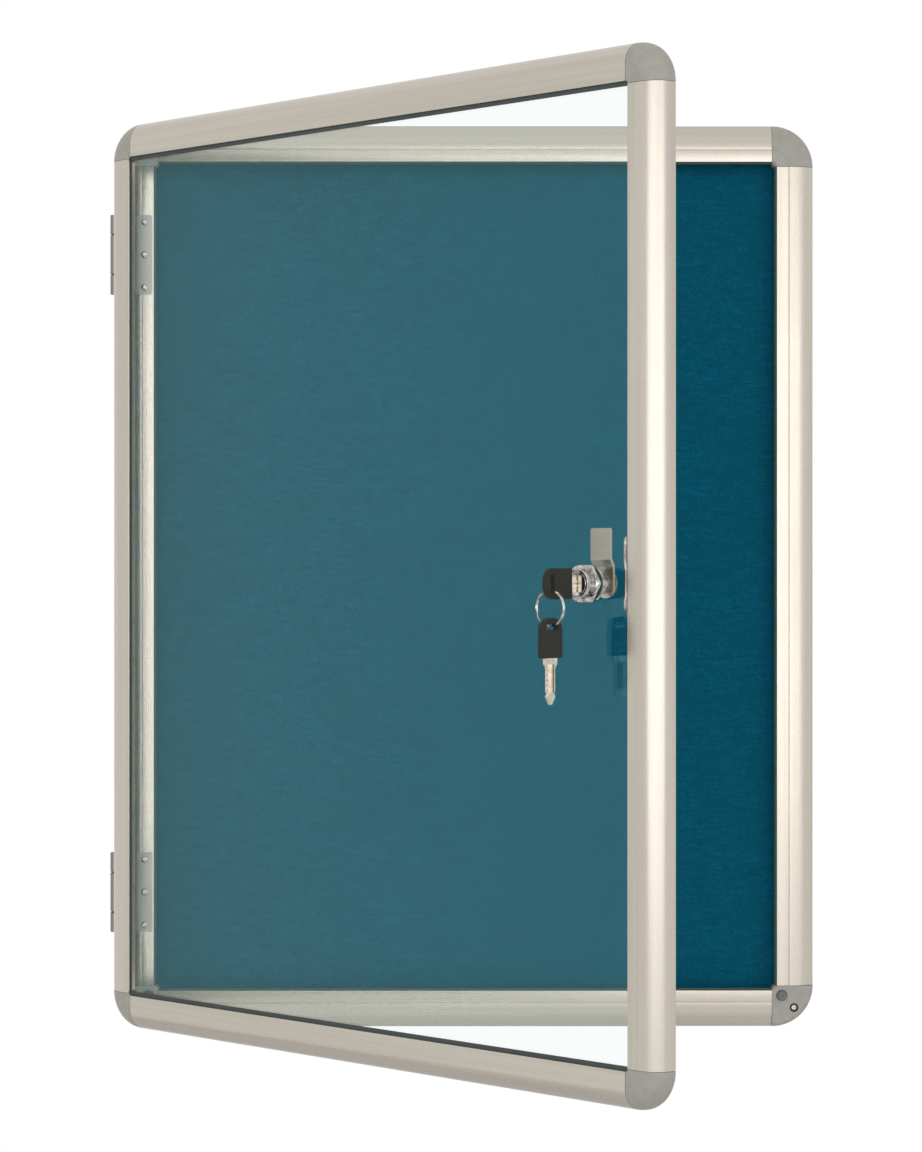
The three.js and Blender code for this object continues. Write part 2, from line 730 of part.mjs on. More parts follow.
// Slim plate on the inner edge of the lock stile: bevelled at the top, rounded at the foot, one screw
function stilePlate(group) {
  const half = plateHeight / 2;
  const outline = [
    [0, half],
    [-plateThickness, half - plateThickness],
    ...arc(0, -half + plateThickness, plateThickness, 2 * quarter, 3 * quarter, arcSteps),
  ];
  const flat = new THREE.ExtrudeGeometry(shapeOf(outline), { depth: plateDepth, bevelEnabled: false });
  const turn = new THREE.Matrix4().makeBasis(point(1, 0, 0), point(0, 0, 1), point(0, -1, 0));
  const body = toSolid(flat.applyMatrix4(turn).translate(0, plateDepth, 0));
  const shank = plateScrewHead * screwShare;
  const bore = barY(shank + clearance, -plateThickness - overrun, overrun)
    .rotate([0, 0, -90]).translate([0, plateDepth / 2, plateScrewRise]);
  const plate = new THREE.Group();
  const frontY = doorRearY - doorDepth - clearance;
  plate.position.set(doorMiddleX + doorWidth / 2 - doorFace - clearance, frontY, plateCentre);
  plate.add(mesh('stile_plate', cut(body, bore), 'chrome'));
  const screw = mesh('stile_plate_screw', roundScrew(plateScrewHead, plateThickness), 'screw');
  screw.rotation.z = -quarter;
  screw.position.set(-plateThickness - clearance / 2, plateDepth / 2, plateScrewRise);
  plate.add(screw);
  group.add(plate);
}

// Cam lock. Its pieces are drawn about the lock axis, Y rearward from the front face of the glass.
const glassBack = glassThickness;
const ledgeRearFromGlass = glassFront + doorRearPlane - ledgeRear;
const camEndFront = ledgeRearFromGlass + clearance;
const camBaseFront = camEndFront + camCrank;
const camBaseRear = camBaseFront + camThickness;
const barrelFront = -lockBarrelProjection;
const threadEnd = lockThreadLength;
const plugRear = camBaseFront - clearance;
const screwBoreEnd = camBaseRear - camScrewReach - clearance;
const keywayEnd = screwBoreEnd - bladeEndWall;
const bladeLength = keyGap + keywayEnd - 2 * clearance - barrelFront;

// A six-sided disc about the lock's axis, with level flats above and below
function hexagon(flats, front, rear) {
  const radius = flats / 2 / Math.cos(Math.PI / nutSides);
  const prism = new THREE.CylinderGeometry(radius, radius, rear - front, nutSides)
    .rotateY(quarter)
    .translate(0, (front + rear) / 2, 0);
  return toSolid(prism);
}

function lockHousing() {
  const plugBore = lockPlugDiameter / 2 + clearance;
  const headBore = lockPlugHeadDiameter / 2 + clearance;
  const barrel = lockBarrelDiameter / 2;
  const rim = barrel - headBore;
  const flangeFront = -clearance - lockFlangeThickness;
  const profile = [
    [plugBore, threadEnd],
    [plugBore, barrelFront + lockPlugHeadThickness + clearance],
    [headBore, barrelFront + lockPlugHeadThickness + clearance],
    [headBore, barrelFront],
    [barrel - rim / 2, barrelFront],
    [barrel, barrelFront + rim / 2],
    [barrel, -clearance],
    [lockThreadDiameter / 2, -clearance],
    [lockThreadDiameter / 2, threadEnd],
  ];
  const chamfer = turned([
    [0, flangeFront],
    [lockFlangeFlats / 2, flangeFront],
    [lockFlangeFlats / 2 + lockFlangeThickness + overrun, overrun - clearance],
    [0, overrun - clearance],
  ]);
  const flange = hexagon(lockFlangeFlats, flangeFront, -clearance).intersect(chamfer);
  return joined(turned(profile), threaded(flange, flangeFront, -clearance));
}

// A disc or nut slipped over the thread of the housing
function threaded(solid, front, rear) {
  return cut(solid, barY(lockThreadDiameter + 2 * clearance, front - overrun, rear + overrun, roundSteps));
}

function lockWasher() {
  const front = glassBack + clearance;
  const rear = front + lockWasherThickness;
  return threaded(barY(lockFlangeFlats, front, rear, roundSteps), front, rear);
}

function lockNut() {
  const front = glassBack + 2 * clearance + lockWasherThickness;
  const rear = front + lockNutThickness;
  const chamfer = turned([
    [0, front - overrun],
    [lockNutFlats / 2 + overrun + lockNutThickness, front - overrun],
    [lockNutFlats / 2, rear],
    [0, rear],
  ]);
  return threaded(hexagon(lockNutFlats, front, rear).intersect(chamfer), front, rear);
}

function lockPlug() {
  const radius = lockPlugDiameter / 2;
  const headRadius = lockPlugHeadDiameter / 2;
  const bevel = lockPlugHeadThickness * plugBevelShare;
  const body = turned([
    [0, barrelFront],
    [headRadius - bevel, barrelFront],
    [headRadius, barrelFront + bevel],
    [headRadius, barrelFront + lockPlugHeadThickness],
    [radius, barrelFront + lockPlugHeadThickness],
    [radius, plugRear],
    [0, plugRear],
  ]);
  const squareHalf = lockSquare / 2;
  const tail = block(
    point(-squareHalf, plugRear - overrun, -squareHalf),
    point(squareHalf, camBaseRear - clearance, squareHalf),
  );
  const screwBore = barY(camScrewShank + 2 * clearance, screwBoreEnd, camBaseRear + overrun);
  const slotHalfX = bladeThickness / 2 + clearance;
  const slotHalfZ = bladeWidth / 2 + clearance;
  const keyway = block(
    point(-slotHalfX, barrelFront - overrun, -slotHalfZ),
    point(slotHalfX, keywayEnd, slotHalfZ),
  );
  const mouthHalf = slotHalfX + bevel;
  const mouth = block(
    point(-mouthHalf, barrelFront - overrun, -slotHalfZ),
    point(mouthHalf, barrelFront + bevel, slotHalfZ),
  );
  return cut(joined(body, tail), keyway, mouth, screwBore);
}

// The cam points up at rest. Its plate is cranked forward so that its end hooks behind the frame's ledge.
function lockCam() {
  const halfWidth = camWidth / 2;
  const side = [
    [camBaseFront, -camBaseDrop],
    [camBaseRear, -camBaseDrop],
    [camBaseRear, camCrankStart],
    [camEndFront + camThickness, camCrankEnd],
    [camEndFront + camThickness, camReach],
    [camEndFront, camReach],
    [camEndFront, camCrankEnd - camThickness / 2],
    [camBaseFront, camCrankStart - camThickness / 2],
  ];
  const plate = toSolid(upright(shapeOf(side), camWidth));
  const corner = (x, z, round, turns) => arc(x, z, round, turns * quarter, (turns + 1) * quarter, arcSteps);
  const outline = [
    ...corner(-halfWidth + camBaseRound, -camBaseDrop + camBaseRound, camBaseRound, 2),
    ...corner(halfWidth - camBaseRound, -camBaseDrop + camBaseRound, camBaseRound, 3),
    ...corner(halfWidth - camRound, camReach - camRound, camRound, 0),
    ...corner(-halfWidth + camRound, camReach - camRound, camRound, 1),
  ];
  const blankDepth = camBaseRear - camEndFront + 2 * overrun;
  const blank = new THREE.ExtrudeGeometry(shapeOf(outline), { depth: blankDepth, bevelEnabled: false })
    .rotateX(quarter).translate(0, camBaseRear + overrun, 0);
  const squareHalf = lockSquare / 2 + clearance;
  const hole = block(
    point(-squareHalf, camBaseFront - overrun, -squareHalf),
    point(squareHalf, camBaseRear + overrun, squareHalf),
  );
  return cut(plate.intersect(toSolid(blank)), hole);
}

// Screw with a wide washer that holds the cam on the square of the plug
function camScrew() {
  const seat = camBaseRear + clearance;
  const washerRear = seat + camWasherThickness;
  const headRear = washerRear + camScrewHeadHeight;
  return turned([
    [0, camBaseRear - camScrewReach],
    [camScrewShank / 2, camBaseRear - camScrewReach],
    [camScrewShank / 2, seat],
    [camWasherDiameter / 2, seat],
    [camWasherDiameter / 2, washerRear],
    [camScrewHead / 2, washerRear],
    [camScrewHead / 2, headRear - camScrewHeadHeight * screwShare],
    [camScrewHead * driveShare / 2, headRear],
    [0, headRear],
  ]);
}

// Key: the blade lies along Y, its width along Z. The bow's foot is at zero and the blade points rearward.
function keyBlade() {
  const half = bladeWidth / 2;
  const shoulder = bladeShoulderWidth / 2;
  const taperEnd = bladeShoulderLength + bladeTaperLength;
  const cutCount = Math.floor((bladeLength - bladeTip - taperEnd) / bladeCutPitch - cutStartShare);
  const cutEdge = Array.from({ length: cutCount }, (unused, index) => {
    const start = taperEnd + bladeCutPitch * (index + cutStartShare);
    const depth = bladeCutDepth * (1 - (index % 2) * screwShare);
    return [
      [start, half],
      [start + bladeCutPitch * cutRampShare, half - depth],
      [start + bladeCutPitch * (1 - cutRampShare), half - depth],
    ];
  }).flat();
  const upper = [
    [-bladeRoot, half],
    [0, half],
    [0, shoulder],
    [bladeShoulderLength, shoulder],
    [taperEnd, half],
    ...cutEdge,
    [bladeLength - bladeTip, half],
    [bladeLength, bladeTip * tipShare],
  ];
  const lower = upper.map(([along, across]) => [along, -across]).reverse();
  const blade = toSolid(upright(shapeOf([...upper, ...lower]), bladeThickness));
  const grooves = [-1, 1].flatMap((side) => [-1, 1].map((level) => {
    const middleX = side * (bladeThickness / 2 - bladeGrooveDepth + overrun / 2);
    const middleZ = level * half * grooveShare;
    return block(
      point(middleX - overrun / 2, bladeShoulderLength, middleZ - bladeGroove / 2),
      point(middleX + overrun / 2, bladeLength + overrun, middleZ + bladeGroove / 2),
    );
  }));
  return cut(blade, ...grooves);
}

// A YZ outline extruded along X, half to each side
function upright(shape, depth, bevel = { bevelEnabled: false }) {
  const flat = new THREE.ExtrudeGeometry(shape, { depth, ...bevel });
  const turn = new THREE.Matrix4().makeBasis(point(0, 1, 0), point(0, 0, 1), point(1, 0, 0));
  return flat.applyMatrix4(turn).translate(-depth / 2, 0, 0);
}

function keyBow() {
  const half = bowWidth / 2;
  const outline = [
    ...arc(-bowLength + bowRound, half - bowRound, bowRound, 2 * quarter, quarter, arcSteps),
    ...arc(-bowFootRound, half - bowFootRound, bowFootRound, quarter, 0, bowFootSteps),
    ...arc(-bowFootRound, -half + bowFootRound, bowFootRound, 0, -quarter, bowFootSteps),
    ...arc(-bowLength + bowRound, -half + bowRound, bowRound, -quarter, -2 * quarter, arcSteps),
  ].reverse();
  const body = toSolid(upright(shapeOf(outline), bowThickness - 2 * bowEdgeRound, {
    bevelThickness: bowEdgeRound,
    bevelSize: bowEdgeRound,
    bevelOffset: -bowEdgeRound,
    bevelSegments: bowEdgeSteps,
  }));
  const slotCentre = -bowLength + bowSlotInset;
  const cornerY = bowSlotWidth / 2 - bowSlotRound;
  const cornerZ = bowSlotLength / 2 - bowSlotRound;
  const slotCorners = [[1, 1, 0], [-1, 1, 1], [-1, -1, 2], [1, -1, 3]];
  const slotOutline = slotCorners.flatMap(([sideY, sideZ, turns]) => arc(
    slotCentre + sideY * cornerY, sideZ * cornerZ, bowSlotRound,
    turns * quarter, (turns + 1) * quarter, bowFootSteps,
  ));
  const slot = toSolid(upright(shapeOf(slotOutline), bowThickness + 2 * overrun));
  const pocketHalfX = bladeThickness / 2 + clearance;
  const pocketHalfZ = bladeWidth / 2 + clearance;
  const pocket = block(
    point(-pocketHalfX, -bladeRoot - clearance, -pocketHalfZ),
    point(pocketHalfX, overrun, pocketHalfZ),
  );
  return cut(body, slot, pocket);
}

// Split ring: two close turns of wire, drawn as one closed oval section about Y, with its top at the origin.
// Its seat in the key's slot leaves room for the ring to swing.
const ringMid = (ringDiameter - ringWire) / 2;

function keyRing() {
  const section = [
    ...arc(ringMid, ringPitch / 2, ringWire / 2, 0, Math.PI, wireSteps),
    ...arc(ringMid, -ringPitch / 2, ringWire / 2, Math.PI, 2 * Math.PI, wireSteps),
  ];
  return turned(section).translate([0, 0, -ringMid]);
}

const bowFootY = barrelFront - keyGap;
const slotFromFoot = -bowLength + bowSlotInset;
const ringSag = ringDiameter / 2 - Math.sqrt((ringDiameter / 2) ** 2 - (bowThickness / 2) ** 2);
const ringLean = (ringPitch / 2) * Math.sin(ringSwing) + ringSag * Math.cos(ringSwing);
const wireSeat = (ringWire + clearance) / 2 + ringLean;
const wireRest = bowSlotLength / 2 - wireSeat;

function lockAndKeys(group) {
  const lock = new THREE.Group();
  const axisX = doorMiddleX + doorWidth / 2 - lockInset;
  lock.position.set(axisX, doorRearY - glassFront, -lockDrop);
  lock.add(mesh('lock_housing', lockHousing(), 'chrome'));
  lock.add(mesh('lock_washer', lockWasher(), 'rubber'));
  lock.add(mesh('lock_nut', lockNut(), 'chrome'));
  lock.add(mesh('lock_plug', lockPlug(), 'chrome'));
  lock.add(mesh('lock_cam', lockCam(), 'cam'));
  lock.add(mesh('cam_screw', camScrew(), 'screw'));
  const key = new THREE.Group();
  key.position.y = bowFootY;
  key.add(mesh('key_blade', keyBlade(), 'keyBlade'));
  key.add(mesh('key_bow', keyBow(), 'keyBow'));
  lock.add(key);
  const ring = new THREE.Group();
  ring.position.set(0, bowFootY + slotFromFoot, -wireRest);
  ring.add(mesh('key_ring', keyRing(), 'chrome'));
  lock.add(ring);
  const spare = new THREE.Group();
  const spareSlot = -2 * ringMid + wireSeat - bowSlotWidth / 2;
  spare.position.set(0, ring.position.y, ring.position.z + spareSlot + slotFromFoot);
  spare.rotation.x = -quarter;
  spare.add(mesh('spare_key_blade', keyBlade(), 'keyBlade'));
  spare.add(mesh('spare_key_bow', keyBow(), 'keyBow'));
  lock.add(spare);
  group.add(lock);
}

const board = new THREE.Group();
backFrame(board);
lowerFixings(board);
boardStack(board);
frameHinges(board);

const door = new THREE.Group();
door.position.set(pinX, -pinForward, 0);
door.rotation.z = -openAngle;
doorFrame(door);
glazing(door);
doorHinges(door);
stilePlate(door);
lockAndKeys(door);
board.add(door);

export default board;
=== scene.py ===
import json
import math

import bmesh
import bpy
from mathutils import Matrix, Vector, noise
from mathutils.geometry import tessellate_polygon


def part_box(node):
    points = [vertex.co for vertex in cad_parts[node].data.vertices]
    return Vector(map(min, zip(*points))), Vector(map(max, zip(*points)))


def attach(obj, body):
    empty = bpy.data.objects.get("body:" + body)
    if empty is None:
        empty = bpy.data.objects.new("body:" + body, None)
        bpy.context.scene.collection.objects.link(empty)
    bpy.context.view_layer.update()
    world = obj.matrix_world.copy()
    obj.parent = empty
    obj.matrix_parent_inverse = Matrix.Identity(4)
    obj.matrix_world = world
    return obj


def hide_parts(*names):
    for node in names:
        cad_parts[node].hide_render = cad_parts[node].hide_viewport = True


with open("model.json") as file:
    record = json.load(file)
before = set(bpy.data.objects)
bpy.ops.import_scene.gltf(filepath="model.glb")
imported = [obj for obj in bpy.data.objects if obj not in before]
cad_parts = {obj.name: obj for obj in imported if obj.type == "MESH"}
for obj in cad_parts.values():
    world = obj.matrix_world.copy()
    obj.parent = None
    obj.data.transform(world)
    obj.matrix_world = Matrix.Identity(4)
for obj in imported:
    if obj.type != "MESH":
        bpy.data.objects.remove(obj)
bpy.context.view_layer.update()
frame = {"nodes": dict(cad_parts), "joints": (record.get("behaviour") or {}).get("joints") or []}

bl_info = {
    "name": "Lockable Notice Board",
    "version": (1, 0, 0),
    "blender": (4, 5, 0),
    "location": "3D View > Sidebar > Notice Board",
    "description": "Builds a felt pin board in an aluminium frame with a glazed door, a cam lock and its keys",
    "category": "Add Mesh",
}

MM = 0.001
QUARTER = math.pi / 2
JOINTS = {joint["name"]: joint for joint in frame["joints"]}
PIN = Vector(JOINTS["door_hinge"]["pos_m"])
LOCK_CENTRE = Vector(JOINTS["lock_turn"]["pos_m"])
RING_TOP = Vector(JOINTS["ring_swing"]["pos_m"])
OPEN_ANGLE = -math.radians(JOINTS["door_hinge"]["range_deg"][0])

# Which way each side and corner of a rectangle lies from its middle, and its quarter turns from the top
SIDES = {"top": (0, 1, 0), "right": (1, 0, 1), "bottom": (0, -1, 2), "left": (-1, 0, 3)}
CORNERS = {"top_right": (1, 1, 0), "bottom_right": (1, -1, 1), "bottom_left": (-1, -1, 2), "top_left": (-1, 1, 3)}

# Turns from a drawing into the frame: a section drawn inward and forward, a turned piece, a piece on its side
RAIL_TURN = Matrix(((0, 0, -1), (0, -1, 0), (-1, 0, 0))).to_4x4()
FORWARD_TURN = Matrix.Rotation(QUARTER, 4, "X")
REARWARD_TURN = Matrix.Rotation(-QUARTER, 4, "X")
UPRIGHT_TURN = Matrix(((0, 0, 1), (1, 0, 0), (0, 1, 0))).to_4x4()

DOOR_HOME = Matrix.Translation(PIN) @ Matrix.Rotation(-OPEN_ANGLE, 4, "Z")
LOCK_HOME = Matrix.Translation(LOCK_CENTRE) @ Matrix.Rotation(-OPEN_ANGLE, 4, "Z")

FINE_STEPS = 28
CORNER_STEPS = 40
TURN_STEPS = 72
SMALL_TURN_STEPS = 40
SHARP_ANGLE = math.radians(32)
CLEARANCE = 0.3 * MM
OVERRUN = 2 * MM

# Tones and amounts that a user has no need to change
# Dark tone of the knuckles, also painted as shade into the gaps between them
KNUCKLE_DARK_AND_GAP_SHADE = (0.02, 0.019, 0.017, 1.0)
GLASS_SHEEN = (0.33, 0.92, 0.89, 1.0)
FIBRE_BEND = 0.0016
FLOOR_GLOW = 0.12
FLOOR_RADIUS = 1.6
FLOOR_THICKNESS = 0.01
# Lens and place of the camera, from the perspective fit to the photograph
CAMERA_LENS = 83.86
CAMERA_PLACE = (-0.003845, -1.9866, 0.000115)


def at(x, y, z):
    """A move by three lengths"""
    return Matrix.Translation((x, y, z))


def spin(angle, axis="Z"):
    """A turn about one of the axes"""
    return Matrix.Rotation(angle, 4, axis)


# Properties

def amount(title, value, words, **limits):
    return bpy.props.FloatProperty(name=title, description=words, default=value, min=0.0, **limits)


def length(title, millimetres, words):
    return amount(title, millimetres * MM, words, precision=5, unit="LENGTH")


def colour(title, rgb, words):
    return bpy.props.FloatVectorProperty(
        name=title, description=words, default=rgb, size=3, min=0.0, max=1.0, subtype="COLOR")


class FrameSizes(bpy.types.PropertyGroup):
    """Back frame and pin board"""
    depth: length("Depth", 22, "Depth of the frame from the wall")
    side_height: length("Side height", 17.6, "Height of the outer side before its face begins to curve")
    convex_width: length("Convex width", 17.5, "Width of the curved outer face")
    ledge_edge: length("Ledge edge", 26.6, "Where the flat ledge ends, from the outer edge")
    bevel: length("Bevel", 1.7, "Bevel along the inner edge of the ledge")
    ledge: length("Ledge thickness", 1.6, "Thickness of the ledge")
    wall: length("Wall", 1.5, "Wall of the hollow section")
    groove_width: length("Groove width", 0.7, "Width of the groove beside the ledge")
    groove_depth: length("Groove depth", 0.6, "Depth of the groove beside the ledge")
    web: length("Web", 20, "Inner side of the hollow chamber, from the outer edge")
    lip_width: length("Lip width", 3, "Width of the two lips that hold the board")
    lip: length("Lip thickness", 1.4, "Thickness of these lips")
    board_lip: length("Board lip height", 10.9, "Height of the front lip above the wall")
    corner: length("Corner size", 30, "Outer radius of the corner pieces")
    ridge: length("Corner ridge", 0.3, "Height of the ridge on the upper corner pieces")
    flat_drop: length("Flat drop", 0.6, "How far the lower corner pieces lie under the ledge")
    flat_round: length("Flat round", 3.4, "Rounding of the lower corner pieces")
    leg_length: length("Leg length", 32, "Length of the legs that plug into the sections")
    leg_height: length("Leg height", 12.5, "Height of these legs")
    edge_round: length("Edge rounding", 0.22, "Rounding along the edges of the extrusion")
    screw_offset: length("Corner screw offset", 14, "Screw in the lower corners, from both outer edges")
    counterbore: length("Counterbore", 6.6, "Diameter of the counterbore around it")
    counterbore_depth: length("Counterbore depth", 1.6, "Depth of the counterbore")
    well: length("Well", 6, "Depth of the well around the head of that screw")
    buffer_offset: length("Buffer offset", 23, "Rubber buffer, from both outer edges")
    buffer_width: length("Buffer seat", 8, "Diameter of the buffer's seat")
    buffer_seat: length("Buffer seat depth", 3, "Depth of the buffer's seat")
    buffer_round: length("Buffer rounding", 1.5, "Rounding of the buffer's front")


class DoorSizes(bpy.types.PropertyGroup):
    """Door sections, corner pieces and the plate on the lock stile"""
    inset: length("Inset", 3.5, "Top and foot of the door inside the frame's outer edges")
    hinge_inset: length("Hinge side inset", 5.7, "Hinge side of the door inside the frame's outer edge")
    lock_inset: length("Lock side inset", 0.3, "Lock side of the door inside the frame's outer edge")
    gap: length("Gap", 2.7, "Gap between frame and closed door")
    depth: length("Depth", 15.5, "Depth of the door section")
    face: length("Face", 25.2, "Width of the door section")
    wall: length("Wall", 1.5, "Wall of the hollow section")
    lip: length("Lip thickness", 1.4, "Thickness of the lip over the glass")
    web: length("Web", 17, "Inner side of the hollow chamber, from the outer edge")
    channel: length("Channel depth", 7, "Depth of the channel for glass and gasket")
    rear_lip_width: length("Rear lip width", 3.5, "Width of the lip behind the glass")
    rear_lip: length("Rear lip thickness", 1.4, "Thickness of the lip behind the glass")
    corner: length("Corner size", 26.7, "Outer radius of the corner pieces")
    corner_fill: length("Corner fill", 23, "How far the body of a corner piece reaches inward")
    leg_length: length("Leg length", 30, "Length of the legs that plug into the sections")
    leg_start: length("Leg start", 6, "First side of a leg, from the outer edge")
    leg_height: length("Leg height", 7.4, "Height of the legs")
    plate_height: length("Plate height", 46, "Height of the slim plate on the lock stile")
    plate_thickness: length("Plate thickness", 2.1, "Thickness of the slim plate")
    plate_depth: length("Plate depth", 1.7, "Depth of the slim plate")
    plate_centre: length("Plate centre", 1.5, "Height of the plate's middle above the board's")
    plate_waist: length("Plate waist", 0.45, "How far the plate draws in below its screw")
    screw_rise: length("Plate screw rise", 14, "Height of the plate's screw above its middle")


class HingeSizes(bpy.types.PropertyGroup):
    """Hinges and their screws"""
    height: length("Height", 58, "Height of a hinge")
    top_inset: length("Top inset", 95, "Middle of the upper hinge under the frame's top")
    bottom_inset: length("Bottom inset", 99, "Middle of the lower hinge above the frame's foot")
    outset: length("Pin outset", 3.2, "Pin outside the frame's edge")
    leaf: length("Leaf thickness", 0.9, "Thickness of the leaves")
    knuckle: length("Knuckle", 6, "Diameter of the knuckles")
    knuckle_gap: length("Knuckle gap", 0.6, "Gap from one knuckle to the next")
    pin: length("Pin", 2.4, "Diameter of the pin")
    frame_end: length("Frame leaf end", 25.6, "End of the frame's leaf, from the frame's edge")
    door_end: length("Door leaf end", 11.6, "End of the door's leaf, from the door's edge")
    end_share: amount(
        "End knuckle share", 0.25, "Height of an end knuckle, as a share of the hinge", max=1.0, subtype="FACTOR")
    frame_column: length("Frame screw column", 20.2, "Screws of the frame's leaf, from the frame's edge")
    door_column: length("Door screw column", 8, "Screws of the door's leaf, from the door's edge")
    spread: length("Screw spread", 23.9, "Distance from one screw to the next")
    head: length("Screw head", 5.2, "Diameter of a screw head")
    corner_head: length("Corner screw head", 4.6, "Diameter of the heads in the frame's corners")
    plate_head: length("Plate screw head", 1.4, "Diameter of the plate's screw head")
    dome: length("Dome", 1.1, "Height of a domed head")
    frame_screw: length("Frame screw length", 8, "Length of the frame screws")
    door_screw: length("Door screw length", 6, "Length of the door screws")
    corner_screw: length("Corner screw length", 10, "Length of the corner screws")


class LockSizes(bpy.types.PropertyGroup):
    """Cam lock through the glass"""
    barrel: length("Barrel", 18.7, "Diameter of the barrel")
    projection: length("Projection", 8.6, "Barrel in front of the glass")
    flats: length("Flange flats", 23, "Six-sided flange, from flat to flat")
    flange: length("Flange thickness", 3, "Thickness of the six-sided flange")
    thread: length("Thread", 16, "Diameter of the threaded body")
    thread_length: length("Thread length", 12.3, "Threaded body behind the front of the glass")
    thread_pitch: length("Thread pitch", 1, "Pitch of the thread")
    nut_flats: length("Nut flats", 20, "Nut, from flat to flat")
    nut: length("Nut thickness", 3.6, "Thickness of the nut")
    washer: length("Washer thickness", 0.8, "Thickness of the washer behind the glass")
    glass: length("Glass thickness", 4, "Thickness of the glass")
    plug: length("Plug", 12, "Diameter of the plug")
    head: length("Plug head", 15.4, "Diameter of the plug's head")
    head_depth: length("Plug head depth", 1.8, "Depth of the plug's head")
    square: length("Square", 7, "Square that carries the cam")
    cam: length("Cam thickness", 1.6, "Thickness of the cam")
    cam_width: length("Cam width", 15.6, "Width of the cam")
    cam_reach: length("Cam reach", 34.6, "Reach of the cam from the lock's axis")
    crank: length("Crank", 2.8, "How far the cam is bent forward")
    crank_start: length("Crank start", 11, "Where the bend begins")
    crank_end: length("Crank end", 15.5, "Where the bend ends")
    cam_front: length("Cam front", 17.2, "Front of the cam's end behind the front of the glass")
    cam_round: length("Cam rounding", 1.5, "Rounding of the cam's end")
    cam_drop: length("Cam drop", 6.5, "Cam under the lock's axis")
    cam_drop_round: length("Cam foot rounding", 3, "Rounding of the cam's foot")
    screw_head: length("Cam screw head", 9, "Diameter of the screw that holds the cam")
    screw_height: length("Cam screw height", 2, "Height of this screw's head")
    screw_shank: length("Cam screw shank", 3.6, "Diameter of this screw's shank")
    screw_reach: length("Cam screw reach", 5.5, "How far the shank enters the plug")
    screw_washer: length("Cam washer", 18.6, "Diameter of the washer under this screw")
    screw_washer_depth: length("Cam washer thickness", 0.9, "Thickness of this washer")


class KeySizes(bpy.types.PropertyGroup):
    """Keys and split ring"""
    blade: length("Blade", 28.4, "Length of the blade")
    width: length("Blade width", 7.6, "Width of the blade")
    thickness: length("Blade thickness", 2, "Thickness of the blade")
    shoulder: length("Shoulder", 11.2, "Width of the shoulder")
    shoulder_length: length("Shoulder length", 3.6, "Length of the shoulder")
    taper: length("Taper", 2, "Length of the taper behind the shoulder")
    root: length("Root", 5, "Blade inside the bow")
    cut: length("Cut depth", 1.3, "Depth of the deepest cut")
    pitch: length("Cut pitch", 3.2, "Distance from cut to cut")
    tip: length("Tip", 5, "Length of the pointed tip")
    groove: length("Groove", 0.9, "Width of the grooves along the blade")
    groove_depth: length("Groove depth", 0.5, "Depth of these grooves")
    bow: length("Bow length", 24.4, "Length of the moulded bow")
    bow_width: length("Bow width", 19, "Width of the bow")
    bow_thickness: length("Bow thickness", 4.6, "Thickness of the bow")
    bow_round: length("Bow rounding", 8, "Rounding of the bow's end")
    foot_round: length("Foot rounding", 1.2, "Rounding of the bow's foot")
    edge_round: length("Bow edge rounding", 0.8, "Rounding of the bow's edges")
    slot_inset: length("Slot inset", 5.4, "Middle of the slot, from the bow's end")
    slot_length: length("Slot length", 10.4, "Length of the slot")
    slot_width: length("Slot width", 3.5, "Width of the slot")
    gap: length("Key gap", 6, "Gap between bow and barrel")
    ring: length("Ring", 22.4, "Outer diameter of the split ring")
    wire: length("Wire", 0.9, "Diameter of its wire")
    coil: length("Coil pitch", 1.0, "Distance between its two turns")


class Finishes(bpy.types.PropertyGroup):
    """Colours of the finishes"""
    aluminium: colour("Aluminium", (0.53, 0.487, 0.42), "Anodised sections")
    # Dark tone for the bevel of the aluminium ledge: painted shade where the ledge's edge turns toward the felt
    bevel: colour("Bevel", (0.06, 0.085, 0.087), "Painted shade on the bevel beside the felt")
    corner: colour("Corner pieces", (0.37, 0.355, 0.315), "Grey lacquer of the corner pieces")
    felt: colour("Felt", (0.0, 0.087, 0.145), "Pressed felt")
    felt_light: colour("Felt fibres", (0.006, 0.12, 0.2), "Loose light fibres of the felt")
    board: colour("Fibre board", (0.39, 0.27, 0.155), "Soft board behind the felt")
    sheet: colour("Back sheet", (0.47, 0.48, 0.475), "Zinc-grey back sheet")
    glass: colour("Glass", (0.94, 0.975, 0.97), "Glass of the door")
    rubber: colour("Rubber", (0.055, 0.07, 0.067), "Gasket and washer")
    buffer: colour("Buffer", (0.15, 0.155, 0.145), "Rubber buffers")
    steel: colour("Hinge steel", (0.35, 0.33, 0.3), "Hinge leaves")
    # Near-black pin: where it shows between the knuckles it serves as painted shade in the gaps
    pin: colour("Hinge pin", (0.05, 0.05, 0.048), "Near-black hinge pins, painted shade in the knuckle gaps")
    plated: colour("Plated steel", (0.5, 0.485, 0.455), "Screws")
    chrome: colour("Chrome", (0.42, 0.405, 0.385), "Lock, plate and ring")
    cam: colour("Cam", (0.41, 0.345, 0.28), "Cam")
    brass: colour("Nickel", (0.62, 0.57, 0.49), "Key blades")
    grip: colour("Grip", (0.022, 0.021, 0.017), "Moulded key bows")


class Studio(bpy.types.PropertyGroup):
    """Light around the board"""
    ambient: amount("Ambient", 0.45, "Brightness of the surroundings on matt surfaces")
    front_lamp: amount("Front lamp", 35.0, "Power of the wide soft lamp behind the camera", unit="POWER")
    side_lamp: amount("Side lamps", 21.0, "Power of each soft lamp at the side", unit="POWER")
    floor_drop: amount("Floor", 1.2, "Floor under the middle of the board", unit="LENGTH")


# Drawing

def arc(centre_x, centre_y, radius, start, end, steps=FINE_STEPS):
    """Points of an arc, both ends included"""
    turn = (end - start) / steps
    return [
        (centre_x + radius * math.cos(start + turn * step), centre_y + radius * math.sin(start + turn * step))
        for step in range(steps + 1)
    ]


